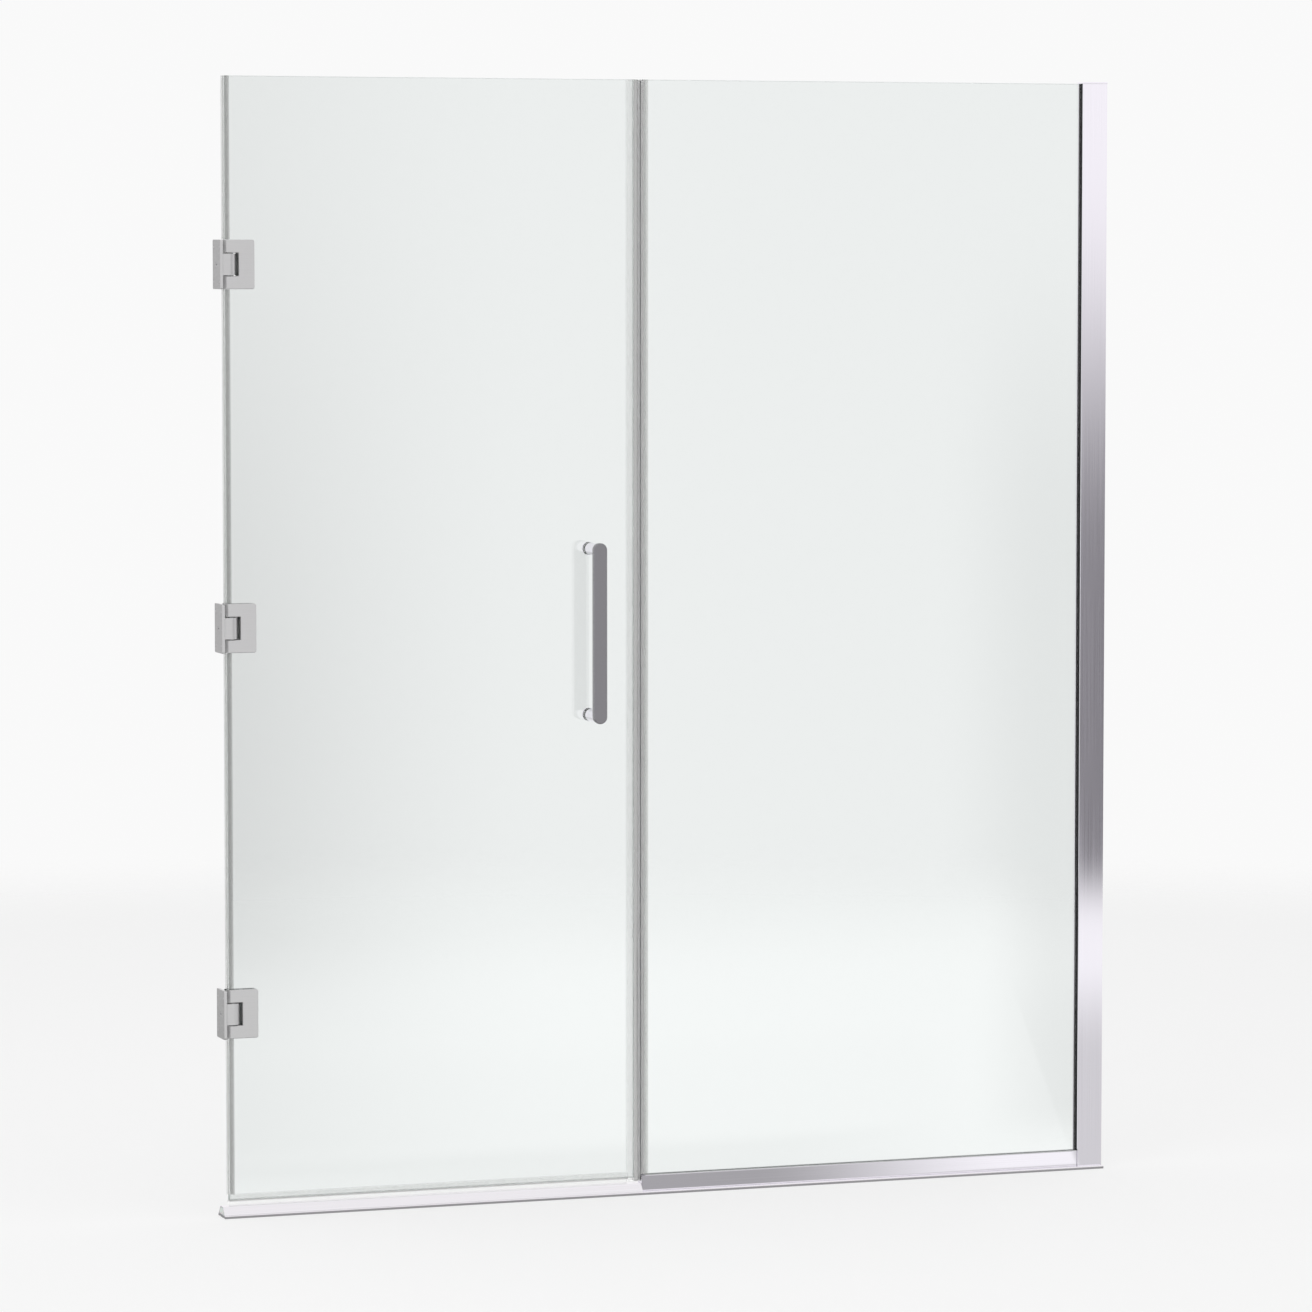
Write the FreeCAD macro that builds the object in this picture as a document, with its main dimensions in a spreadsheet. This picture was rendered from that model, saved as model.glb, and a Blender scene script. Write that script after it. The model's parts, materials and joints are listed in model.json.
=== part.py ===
import FreeCAD, Part
import math
import os
import re

import Sketcher
from FreeCAD import Rotation, Vector

# A frameless shower front for an alcove: a glass door hung from the left wall on three hinges, and a fixed
# glass panel in line with it, held in a bottom channel and a wall jamb.
# X runs across the opening from the left wall to the right wall, Y runs into the shower and Z is up.
# The origin lies on the curb, in the middle of the opening and in the middle plane of the glass.

SIZES = (
    ("opening_width", 1524, "from the left wall face to the right wall face"),
    ("glass_top", 1816, "top edge of the glass above the curb"),
    ("glass_thickness", 10, "door and panel glass"),
    ("glass_bevel", 0.8, "ground edge of the glass"),
    ("joint_gap", 0.3, "clearance between pieces that are laid end to end"),
    ("sill_depth", 42, "sill from front to back"),
    ("sill_height", 4.8, "sill above the curb"),
    ("sill_bevel", 1.2, "bevel along the sill's top edges"),
    ("groove_width", 8, "sealant groove under the sill"),
    ("groove_depth", 1, "sealant groove under the sill"),
    ("groove_inset", 5, "sealant groove behind the sill's edge"),
    ("threshold_height", 12.7, "threshold above the sill"),
    ("threshold_inset", 3, "foot of the threshold behind the sill's edge"),
    ("threshold_flat", 16, "flat top of the threshold"),
    ("threshold_wall", 1.6, "metal of the threshold"),
    ("channel_depth", 20, "panel channel from front to back"),
    ("channel_height", 25.2, "panel channel above the sill"),
    ("channel_wall", 1.6, "metal of the panel channel"),
    ("end_cap_thickness", 1.5, "cap on the free end of the panel channel"),
    ("setting_block_length", 100, "block under the panel"),
    ("setting_block_height", 4, "block under the panel"),
    ("channel_gasket_height", 14, "gasket inside the channel"),
    ("channel_gasket_lip", 1, "gasket lip over the channel's edge"),
    ("jamb_width", 44, "wall jamb across its face"),
    ("jamb_depth", 24, "wall jamb from front to back"),
    ("jamb_wall", 1.6, "metal of the jamb profiles"),
    ("jamb_lip", 4, "lip of the jamb cover towards the glass"),
    ("jamb_reveal", 0.5, "gap between the jamb cover and the wall"),
    ("jamb_adjustment", 2, "room for adjustment between the cover's web and the wall channel"),
    ("jamb_fit", 0.1, "clearance of covers, plugs and gaskets in their profiles"),
    ("jamb_gasket_reach", 1.6, "gasket standing out of the jamb along the glass"),
    ("jamb_gasket_depth", 6, "gasket inside the jamb"),
    ("jamb_cap_height", 3, "cap on top of the jamb"),
    ("jamb_cap_plug", 8, "plug of that cap inside the jamb"),
    ("jamb_screw_diameter", 4, "screw that fixes the cover to the wall channel"),
    ("jamb_screw_head", 7.5, "head of that screw"),
    ("jamb_screw_head_height", 2, "head of that screw"),
    ("jamb_screw_length", 6, "shank of that screw"),
    ("jamb_screw_inset", 9, "that screw's distance from the wall"),
    ("jamb_screw_end", 300, "outer ones of those screws from the jamb's ends"),
    ("jamb_wall_hole", 6, "hole for the jamb's wall screw"),
    ("jamb_wall_hole_end", 508, "wall screw holes from the jamb's ends"),
    ("panel_in_jamb", 24, "glass of the panel inside the jamb"),
    ("meeting_line", 706, "from the left wall to where the two strike seals meet"),
    ("meeting_gap", 0.6, "running gap between the strike seals"),
    ("seal_wall", 1.2, "clear seal profiles"),
    ("door_strike_reach", 10.7, "door strike seal beyond the glass edge"),
    ("door_strike_overlap", 11.6, "door strike seal over the glass face"),
    ("strike_clearance", 4, "door strike seal above the threshold"),
    ("panel_strike_reach", 6.3, "panel strike seal beyond the glass edge"),
    ("panel_strike_overlap", 6.1, "panel strike seal over the glass face"),
    ("magnet_thickness", 3.8, "magnet strip in a strike seal"),
    ("magnet_width", 9, "magnet strip in a strike seal"),
    ("magnet_fit", 0.1, "clearance round a magnet strip"),
    ("side_seal_overlap", 8, "hinge side seal over the glass face"),
    ("side_seal_fin", 2.5, "fin of the hinge side seal"),
    ("door_clearance", 9.5, "lower edge of the door glass above the threshold"),
    ("sweep_overlap", 9, "door sweep over the glass face"),
    ("sweep_clearance", 0.5, "wiper of the sweep above the threshold"),
    ("sweep_fin", 1.2, "thickness of the wipers"),
    ("sweep_drip", 5, "drip wiper's reach into the shower"),
    ("hinge_height", 78, "wall plate and clamps"),
    ("hinge_top_drop", 297, "middle of the top hinge below the glass top"),
    ("hinge_middle_rise", 20, "middle hinge above halfway between the other two"),
    ("hinge_bottom_level", 327, "middle of the bottom hinge above the curb"),
    ("plate_thickness", 5, "wall plate"),
    ("plate_depth", 46, "wall plate from front to back"),
    ("plate_bevel", 0.8, "bevel round the wall plate's face"),
    ("plate_corner", 3, "corner radius of the wall plate"),
    ("wall_hole", 5.5, "wall screw hole"),
    ("wall_countersink", 9.5, "mouth of the wall screw hole"),
    ("wall_hole_inset", 6, "wall screw hole behind the plate's front and back edges"),
    ("wall_hole_rise", 12, "wall screw hole from the plate's top and bottom edges"),
    ("pin_offset", 18.5, "from the wall to the pin's axis"),
    ("pin_diameter", 12, "round part of the pin"),
    ("pin_inset", 7, "pin's square ends inside the clamp's ends"),
    ("cam_flats", 10.6, "pin across its detent flats"),
    ("cam_height", 14, "detent flats along the pin"),
    ("cam_clearance", 0.3, "tongue bore round the detent flats"),
    ("running_clearance", 0.05, "pin in its bushes and plunger in its bore"),
    ("tongue_depth", 27, "tongue of the wall plate from front to back"),
    ("tongue_inset", 22, "tongue's ends inside the wall plate's ends"),
    ("bush_wall", 1, "flanged bush"),
    ("bush_spacing", 18, "between the two bushes inside the tongue"),
    ("bush_flange", 1, "flange thickness of the bush"),
    ("bush_flange_diameter", 18, "flange of the bush"),
    ("bush_end_play", 0.3, "flange to clamp"),
    ("plunger_diameter", 8, "detent plunger"),
    ("plunger_bevel", 0.6, "bevel round the plunger's tip"),
    ("plunger_clearance", 0.1, "drawn-back plunger to the round of the pin"),
    ("spring_discs", 4, "discs in the detent spring"),
    ("spring_disc_pitch", 1, "discs along the spring"),
    ("spring_disc_thickness", 0.5, "metal of a disc"),
    ("spring_disc_bore", 4, "hole of a disc"),
    ("spring_disc_outside", 7.4, "rim of a disc"),
    ("spring_disc_play", 0.02, "gap between discs"),
    ("plug_thickness", 3, "plug behind the detent spring"),
    ("plug_recess", 0.4, "plug below the back of the wall plate"),
    ("glass_setback", 6.5, "door glass beyond the pin's axis towards the wall"),
    ("clamp_tail", 10.5, "clamps beyond the pin's axis towards the wall"),
    ("clamp_width", 51, "clamp along the door"),
    ("clamp_thickness", 6, "clamp plate"),
    ("clamp_bevel", 0.8, "bevel round the clamp's face"),
    ("clamp_corner", 3.5, "corner radius of the clamp on the glass"),
    ("notch_clearance", 1.2, "notch of the clamps round the tongue's nose"),
    ("swing_clearance", 0.5, "between the turning clamps and the wall plate"),
    ("clamp_gasket", 1, "gasket between clamp and glass"),
    ("clamp_gasket_inset", 1.2, "gasket behind the clamp's outline"),
    ("glass_notch", 26, "hinge cut-out from the edge of the door glass"),
    ("glass_notch_inset", 6, "hinge cut-out in the door glass inside the clamp's ends"),
    ("glass_notch_corner", 6, "corner radius of the cut-out"),
    ("clamp_screw_diameter", 6, "screw through both clamps"),
    ("clamp_screw_head", 11, "countersunk head of that screw"),
    ("clamp_screw_reach", 12.5, "from the pin's axis to that screw"),
    ("clamp_screw_inset", 13, "that screw from the clamp's end"),
    ("clamp_screw_bite", 4, "screw inside the front clamp"),
    ("screw_clearance", 0.1, "screws in their holes"),
    ("socket_across", 4, "hexagon socket of the screws across its corners"),
    ("socket_depth", 2, "hexagon socket of the screws"),
    ("handle_inset", 74.5, "pull from the free edge of the door glass"),
    ("handle_level", 924, "middle of the pull above the curb"),
    ("bar_length", 292.4, "pull bar with its round ends"),
    ("bar_width", 22.4, "pull bar across its face"),
    ("bar_thickness", 10, "pull bar"),
    ("bar_bevel", 1, "bevel round the pull bar's face"),
    ("bar_standoff", 42, "from the glass face to the back of the pull bar"),
    ("post_diameter", 20, "post of the pull"),
    ("post_bevel", 0.8, "bevel at the post's ends"),
    ("stud_diameter", 8, "stud of the post in the bar and screw in the post"),
    ("stud_length", 6, "stud of the post in the bar"),
    ("handle_washer", 1, "washer on the glass"),
    ("handle_hole", 14, "hole in the glass for the pull"),
    ("handle_screw_bite", 20, "screw inside the post"),
    ("cap_diameter", 22, "head of the pull's screw inside the shower"),
    ("cap_height", 6, "head of the pull's screw inside the shower"),
    ("cap_bevel", 2, "bevel of that head"),
)

HINGES = ("top", "middle", "bottom")

doc = FreeCAD.newDocument("hinged_shower_door")
sheet = doc.addObject("Spreadsheet::Sheet", "sizes")
size_names = set()
for row, (size_name, value, meaning) in enumerate(SIZES, start=1):
    sheet.set("A%d" % row, size_name)
    sheet.set("B%d" % row, str(value))
    sheet.set("C%d" % row, meaning)
    sheet.setAlias("B%d" % row, size_name)
    size_names.add(size_name)
doc.recompute()

pieces = []

# Formulas that several pieces share, all in the frame of the whole object.
LEFT_WALL = "(-opening_width / 2)"
RIGHT_WALL = "(opening_width / 2)"
HALF_GLASS = "(glass_thickness / 2)"
DOOR_LEFT = "(-opening_width / 2 + pin_offset - glass_setback)"
DOOR_SEAL_END = "(-opening_width / 2 + meeting_line - meeting_gap / 2)"
DOOR_RIGHT = "(-opening_width / 2 + meeting_line - meeting_gap / 2 - door_strike_reach)"
PANEL_SEAL_END = "(-opening_width / 2 + meeting_line + meeting_gap / 2)"
PANEL_LEFT = "(-opening_width / 2 + meeting_line + meeting_gap / 2 + panel_strike_reach)"
JAMB_LEFT = "(opening_width / 2 - jamb_width)"
PANEL_RIGHT = "(opening_width / 2 - jamb_width + panel_in_jamb)"
CHANNEL_FLOOR = "(sill_height + channel_wall)"
CHANNEL_TOP = "(sill_height + channel_height)"
PANEL_BOTTOM = "(sill_height + channel_wall + setting_block_height)"
THRESHOLD_TOP = "(sill_height + threshold_height)"
DOOR_BOTTOM = "(sill_height + threshold_height + door_clearance)"
SEAL_FACE = "(glass_thickness / 2 + seal_wall)"
CLAMP_BACK = "(glass_thickness / 2 + clamp_gasket)"
CLAMP_FACE = "(glass_thickness / 2 + clamp_gasket + clamp_thickness)"
HALF_HINGE = "(hinge_height / 2)"
HALF_TONGUE = "(hinge_height / 2 - tongue_inset)"
NOTCH_HALF = "(%s + bush_flange + bush_end_play)" % HALF_TONGUE
HALF_CUTOUT = "(hinge_height / 2 - glass_notch_inset)"
HALF_PIN = "(hinge_height / 2 - pin_inset)"
PULL_ACROSS = "(%s - handle_inset)" % DOOR_RIGHT
POST_RISE = "((bar_length - bar_width) / 2)"
HINGE_LEVEL = {
    "top": "(glass_top - hinge_top_drop)",
    "middle": "((glass_top - hinge_top_drop + hinge_bottom_level) / 2 + hinge_middle_rise)",
    "bottom": "(hinge_bottom_level)",
}


def formula(text):
    """Point every size that a formula names at its cell."""
    def cell(word):
        name = word.group()
        return "sizes." + name if name in size_names else name
    return re.sub(r"[a-z][a-z_]*", cell, text)


def bind(item, formulas):
    """Bind properties of an item to formulas."""
    for name, text in formulas.items():
        item.setExpression(name, formula(text))


def place(item, x="0", y="0", z="0"):
    bind(item, {"Placement.Base.x": x, "Placement.Base.y": y, "Placement.Base.z": z})
    return item


def keep(item, name):
    """Name a finished piece and list it for writing."""
    item.Label = name
    pieces.append(item)
    return item


def box(name, x, y, z):
    """A block between two formulas on each axis."""
    block = doc.addObject("Part::Box", name)
    for side, (low, high) in zip(("Length", "Width", "Height"), (x, y, z)):
        bind(block, {side: "(%s) - (%s)" % (high, low)})
    return place(block, x[0], y[0], z[0])


ACROSS = Vector(1, 0, 0)
INWARD = Vector(0, 1, 0)
UP = Vector(0, 0, 1)
AXIS_TURN = {
    "X": Rotation(INWARD, 90),
    "Y": Rotation(ACROSS, -90),
    "Z": Rotation(),
}


def along(item, axis, low, centre):
    """Turn a round item to an axis and set its low end there; centre gives the other two places in order."""
    item.Placement.Rotation = AXIS_TURN[axis]
    spots = list(centre)
    spots.insert("XYZ".index(axis), low)
    return place(item, *spots)


def rod(name, axis, diameter, low, high, centre=("0", "0")):
    """A round bar along an axis."""
    bar = doc.addObject("Part::Cylinder", name)
    bind(bar, {"Radius": "(%s) / 2" % diameter, "Height": "(%s) - (%s)" % (high, low)})
    return along(bar, axis, low, centre)


def taper(name, axis, low_diameter, high_diameter, low, high, centre=("0", "0")):
    """A cone frustum along an axis."""
    cone = doc.addObject("Part::Cone", name)
    bind(cone, {
        "Radius1": "(%s) / 2" % low_diameter,
        "Radius2": "(%s) / 2" % high_diameter,
        "Height": "(%s) - (%s)" % (high, low),
    })
    return along(cone, axis, low, centre)


def socket(name, axis, low, high, centre):
    """A hexagon socket along an axis."""
    prism = doc.addObject("Part::Prism", name)
    prism.Polygon = 6
    bind(prism, {"Circumradius": "socket_across / 2", "Height": "(%s) - (%s)" % (high, low)})
    return along(prism, axis, low, centre)


def fuse(name, items):
    joined = doc.addObject("Part::MultiFuse", name)
    joined.Shapes = items
    joined.Refine = True
    return joined


def cut(name, base, tools):
    result = doc.addObject("Part::Cut", name)
    result.Base = base
    result.Tool = tools[0] if len(tools) == 1 else fuse(name + "_tools", tools)
    return result


def group(name, items):
    """Like pieces that share one node, each a solid of its own."""
    bundle = doc.addObject("Part::Compound", name)
    bundle.Links = items
    return bundle


def new_sketch(body, plane, name):
    sketch = body.newObject("Sketcher::SketchObject", name)
    support = next(item for item in body.Origin.OriginFeatures if item.Role == plane + "_Plane")
    sketch.AttachmentSupport = [(support, "")]
    sketch.MapMode = "FlatFace"
    return sketch


def add_loop(sketch, points):
    """A closed outline; each corner is held at its two formulas.

    The corners start on a circle and the constraints carry them to their places.
    """
    first = sketch.GeometryCount
    count = len(points)
    turns = [Rotation(UP, 360.0 * step / count) for step in range(count)]
    corners = [turn.multVec(ACROSS) for turn in turns]
    for step in range(count):
        sketch.addGeometry(Part.LineSegment(corners[step], corners[(step + 1) % count]), False)
    for step in range(count):
        following = first + (step + 1) % count
        sketch.addConstraint(Sketcher.Constraint("Coincident", first + step, 2, following, 1))
    for step, point in enumerate(points):
        for kind, text, start in zip(("DistanceX", "DistanceY"), point, corners[step]):
            index = sketch.addConstraint(Sketcher.Constraint(kind, first + step, 1, start))
            sketch.setExpression("Constraints[%d]" % index, formula(text))


def add_circle(sketch, centre, diameter):
    index = sketch.addGeometry(Part.Circle(Vector(), UP, 1), False)
    for kind, text in zip(("DistanceX", "DistanceY"), centre):
        spot = sketch.addConstraint(Sketcher.Constraint(kind, index, 3, 0))
        sketch.setExpression("Constraints[%d]" % spot, formula(text))
    wide = sketch.addConstraint(Sketcher.Constraint("Diameter", index, 1))
    sketch.setExpression("Constraints[%d]" % wide, formula(diameter))


def profile(name, plane, loops, length, both_ways=False, backwards=False, circles=()):
    """An outline with its holes, drawn on a plane and extruded."""
    body = doc.addObject("PartDesign::Body", name)
    sketch = new_sketch(body, plane, name + "_outline")
    for points in loops:
        add_loop(sketch, points)
    for centre, diameter in circles:
        add_circle(sketch, centre, diameter)
    pad = body.newObject("PartDesign::Pad", name + "_pad")
    pad.Profile = sketch
    pad.Midplane = both_ways
    pad.Reversed = backwards
    bind(pad, {"Length": length})
    return body


def turned(name, plane, outline):
    """An outline revolved about the vertical axis of its plane."""
    body = doc.addObject("PartDesign::Body", name)
    sketch = new_sketch(body, plane, name + "_outline")
    add_loop(sketch, outline)
    revolution = body.newObject("PartDesign::Revolution", name + "_turn")
    revolution.Profile = sketch
    revolution.ReferenceAxis = (sketch, ["V_Axis"])
    revolution.Angle = 360
    return body


def edges_where(shape, test):
    return ["Edge%d" % number for number, edge in enumerate(shape.Edges, start=1) if test(edge)]


def dress(body, kind, size, test):
    """Fillet or chamfer the edges of a body that pass a test."""
    doc.recompute()
    base = body.Tip
    feature = body.newObject("PartDesign::" + kind, body.Name + "_" + kind.lower())
    feature.Base = (base, edges_where(base.Shape, test))
    bind(feature, {"Radius" if kind == "Fillet" else "Size": size})
    body.Tip = feature
    return body


def runs_along(edge, axis):
    """True for a straight edge along an axis."""
    if len(edge.Vertexes) < 2:
        return False
    step = edge.Vertexes[1].Point - edge.Vertexes[0].Point
    return step.cross(axis).Length < 1e-6 * step.Length


def lies_at(edge, axis, level):
    """True for an edge that stays in the plane at a level on an axis."""
    return all(abs(vertex.Point.dot(axis) - level) < 1e-4 for vertex in edge.Vertexes)


def mirrored_depth(points, side):
    """Turn the first coordinate of an outline to the front or the rear side."""
    return [("%s * (%s)" % (side, depth), height) for depth, height in points]


def sill_and_threshold():
    half = "sill_depth / 2"
    groove_out = "(sill_depth / 2 - groove_inset)"
    groove_in = "(sill_depth / 2 - groove_inset - groove_width)"
    front_half = [
        ("-" + half, "sill_height - sill_bevel"),
        ("-" + half, "0"),
        ("-" + groove_out, "0"),
        ("-" + groove_out, "groove_depth"),
        ("-" + groove_in, "groove_depth"),
        ("-" + groove_in, "0"),
    ]
    rear_half = [(depth[1:], height) for depth, height in reversed(front_half)]
    crown = [(half + " - sill_bevel", "sill_height"), ("-(" + half + " - sill_bevel)", "sill_height")]
    sill = profile("sill", "YZ", [front_half + rear_half + crown], "opening_width")
    keep(place(sill, LEFT_WALL), "sill_track")

    foot = "(sill_depth / 2 - threshold_inset)"
    slope = "(%s - threshold_flat / 2)" % foot
    slant = "threshold_wall * sqrt(threshold_height ^ 2 + (%s) ^ 2) / threshold_height" % slope
    hollow_foot = "%s - %s" % (foot, slant)
    hollow_flat = "%s - (threshold_height - threshold_wall) * (%s) / threshold_height" % (hollow_foot, slope)
    right_side = [
        (hollow_flat, "threshold_height - threshold_wall"),
        (hollow_foot, "0"),
        (foot, "0"),
        ("threshold_flat / 2", "threshold_height"),
    ]
    left_side = [("-(%s)" % depth, height) for depth, height in reversed(right_side)]
    dam = profile("dam", "YZ", [right_side + left_side], "meeting_line + meeting_gap / 2 - joint_gap")
    keep(place(dam, LEFT_WALL, "0", "sill_height"), "door_threshold")


def panel_channel():
    half = "channel_depth / 2"
    inner = "(channel_depth / 2 - channel_wall)"
    start = PANEL_SEAL_END + " + end_cap_thickness"
    length = "%s - joint_gap - (%s)" % (JAMB_LEFT, start)
    right_side = [
        (half, "0"),
        (half, "channel_height"),
        (inner, "channel_height"),
        (inner, "channel_wall"),
    ]
    left_side = [("-" + depth, height) for depth, height in reversed(right_side)]
    trough = profile("trough", "YZ", [right_side + left_side], length)
    keep(place(trough, start, "0", "sill_height"), "panel_channel")

    flange = box(
        "cap_flange",
        (PANEL_SEAL_END, start),
        ("-" + half, half),
        ("sill_height", CHANNEL_TOP),
    )
    plug = box(
        "cap_plug",
        (start, PANEL_LEFT + " - joint_gap"),
        ("-%s + jamb_fit" % inner, inner + " - jamb_fit"),
        (CHANNEL_FLOOR + " + jamb_fit", CHANNEL_TOP + " - channel_wall"),
    )
    keep(fuse("channel_cap", [flange, plug]), "panel_channel_end_cap")

    blocks = []
    for quarter in (1, 3):
        middle = "(%s + (%s - %s) * %d / 4)" % (PANEL_LEFT, PANEL_RIGHT, PANEL_LEFT, quarter)
        blocks.append(box(
            "setting_block",
            (middle + " - setting_block_length / 2", middle + " + setting_block_length / 2"),
            ("-" + HALF_GLASS, HALF_GLASS),
            (CHANNEL_FLOOR, PANEL_BOTTOM),
        ))
    keep(group("setting_blocks", blocks), "panel_setting_blocks")

    lip_edge = half + " - channel_wall / 2"
    section = [
        (HALF_GLASS, "-channel_gasket_height"),
        (inner, "-channel_gasket_height"),
        (inner, "0"),
        (lip_edge, "0"),
        (lip_edge, "channel_gasket_lip"),
        (HALF_GLASS, "channel_gasket_lip"),
    ]
    gasket_start = PANEL_LEFT
    gasket_length = "%s - joint_gap - %s" % (JAMB_LEFT, gasket_start)
    for name, side in (("front", "-1"), ("rear", "1")):
        strip = profile("channel_strip_" + name, "YZ", [mirrored_depth(section, side)], gasket_length)
        keep(place(strip, gasket_start, "0", CHANNEL_TOP), "panel_channel_gasket_" + name)


def wall_jamb():
    outer = "(jamb_depth / 2)"
    inner = "(jamb_depth / 2 - jamb_wall)"
    lip = "(jamb_depth / 2 - jamb_lip)"
    left = JAMB_LEFT
    lip_back = "(%s + jamb_wall)" % left
    right = "(%s - jamb_reveal)" % RIGHT_WALL
    web = "(%s + joint_gap)" % PANEL_RIGHT
    web_back = "(%s + jamb_wall)" % web
    tall = "glass_top - sill_height"
    screw_x = "(%s - jamb_screw_inset)" % RIGHT_WALL

    front_half = [
        (web, "-" + inner),
        (lip_back, "-" + inner),
        (lip_back, "-" + lip),
        (left, "-" + lip),
        (left, "-" + outer),
        (right, "-" + outer),
        (right, "-" + inner),
        (web_back, "-" + inner),
    ]
    rear_half = [(spot, depth[1:]) for spot, depth in reversed(front_half)]
    cover = profile("cover", "XY", [front_half + rear_half], tall)
    place(cover, "0", "0", "sill_height")

    leg = "(jamb_depth / 2 - jamb_wall - jamb_fit)"
    leg_inner = "(jamb_depth / 2 - 2 * jamb_wall - jamb_fit)"
    mouth = "(%s + jamb_adjustment)" % web_back
    floor = "(%s - jamb_wall)" % RIGHT_WALL
    channel_half = [
        (floor, "-" + leg_inner),
        (mouth, "-" + leg_inner),
        (mouth, "-" + leg),
        (RIGHT_WALL, "-" + leg),
    ]
    channel_rear = [(spot, depth[1:]) for spot, depth in reversed(channel_half)]
    channel = profile("rail", "XY", [channel_half + channel_rear], tall)
    place(channel, "0", "0", "sill_height")

    cover_holes = []
    channel_holes = []
    screws = []
    for level in ("jamb_screw_end", "glass_top / 2", "glass_top - jamb_screw_end"):
        spot = (screw_x, level)
        hole = "jamb_screw_diameter + 2 * screw_clearance"
        cover_holes.append(rod("cover_hole", "Y", hole, "0", "jamb_depth", spot))
        channel_holes.append(rod("rail_hole", "Y", hole, "0", "jamb_depth", spot))
        head_top = "(%s + jamb_screw_head_height)" % outer
        head = rod("jamb_screw_head", "Y", "jamb_screw_head", outer, head_top, spot)
        shank_end = "(%s - jamb_screw_length)" % outer
        shank = rod("jamb_screw_shank", "Y", "jamb_screw_diameter", shank_end, outer, spot)
        ends = (head_top + " - socket_depth / 2", head_top + " + socket_depth")
        drive = socket("jamb_screw_socket", "Y", *ends, spot)
        screws.append(cut("jamb_screw", fuse("jamb_screw_blank", [head, shank]), [drive]))
    for level in ("jamb_wall_hole_end", "glass_top - jamb_wall_hole_end"):
        channel_holes.append(rod(
            "wall_screw_hole", "X", "jamb_wall_hole",
            floor + " - jamb_wall", RIGHT_WALL + " + jamb_wall",
            ("0", level),
        ))
    keep(cut("drilled_cover", cover, cover_holes), "wall_jamb_cover")
    keep(cut("drilled_rail", channel, channel_holes), "wall_jamb_channel")
    keep(group("jamb_screws", screws), "wall_jamb_set_screws")

    gasket_outer = "(%s - jamb_fit)" % lip
    barb = "(%s + jamb_fit)" % lip_back
    barb_end = "(%s + jamb_gasket_depth)" % left
    section = [
        ("%s - jamb_gasket_reach" % left, HALF_GLASS),
        (barb_end, HALF_GLASS),
        (barb_end, "(%s - jamb_fit)" % inner),
        (barb, "(%s - jamb_fit)" % inner),
        (barb, gasket_outer),
        ("%s - jamb_gasket_reach / 2" % left, gasket_outer),
    ]
    bottom = CHANNEL_TOP + " + channel_gasket_lip + joint_gap"
    for name, side in (("front", "-1"), ("rear", "1")):
        outline = [(spot, "%s * (%s)" % (side, depth)) for spot, depth in section]
        strip = profile("jamb_strip_" + name, "XY", [outline], "glass_top - (%s)" % bottom)
        keep(place(strip, "0", "0", bottom), "wall_jamb_gasket_" + name)

    lid = box(
        "jamb_lid",
        (left, RIGHT_WALL),
        ("-" + outer, outer),
        ("glass_top", "glass_top + jamb_cap_height"),
    )
    plug = box(
        "jamb_lid_plug",
        (web_back + " + jamb_fit", "%s - jamb_fit" % floor),
        ("-%s + jamb_fit" % leg_inner, leg_inner + " - jamb_fit"),
        ("glass_top - jamb_cap_plug", "glass_top"),
    )
    keep(fuse("jamb_cap", [lid, plug]), "wall_jamb_top_cap")


def strike_seal(name, tip, glass_edge, overlap, away, bottom):
    """A clear magnet seal on a glass edge; away is 1 where its tip points to +X and -1 for -X."""
    leg_end = "(%s - %s * %s)" % (glass_edge, away, overlap)
    web = "(%s - %s * seal_wall / 2)" % (tip, away)
    outline = [
        (leg_end, "-" + SEAL_FACE),
        (tip, "-" + SEAL_FACE),
        (tip, SEAL_FACE),
        (leg_end, SEAL_FACE),
        (leg_end, HALF_GLASS),
        (glass_edge, HALF_GLASS),
        (glass_edge, "-" + HALF_GLASS),
        (leg_end, "-" + HALF_GLASS),
    ]
    pocket_back = "(%s - %s * (magnet_thickness + 2 * magnet_fit))" % (web, away)
    pocket_half = "(magnet_width / 2 + magnet_fit)"
    pocket = [
        (pocket_back, "-" + pocket_half),
        (web, "-" + pocket_half),
        (web, pocket_half),
        (pocket_back, pocket_half),
    ]
    seal = profile(name + "_extrusion", "XY", [outline, pocket], "glass_top - (%s)" % bottom)
    keep(place(seal, "0", "0", bottom), name + "_strike_seal")

    near = "(%s - %s * magnet_fit)" % (web, away)
    far = "(%s - %s * magnet_thickness)" % (near, away)
    span = (far, near) if away == "1" else (near, far)
    strip = box(
        name + "_magnet",
        span,
        ("-magnet_width / 2", "magnet_width / 2"),
        ("%s + seal_wall" % bottom, "glass_top - seal_wall"),
    )
    keep(strip, name + "_magnet_strip")


def panel_glass():
    outline = [
        (PANEL_LEFT, PANEL_BOTTOM),
        (PANEL_RIGHT, PANEL_BOTTOM),
        (PANEL_RIGHT, "glass_top"),
        (PANEL_LEFT, "glass_top"),
    ]
    pane = profile("panel_pane", "XZ", [outline], "glass_thickness", both_ways=True)
    dress(pane, "Chamfer", "glass_bevel", lambda edge: not runs_along(edge, INWARD))
    keep(pane, "fixed_glass_panel")


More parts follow.
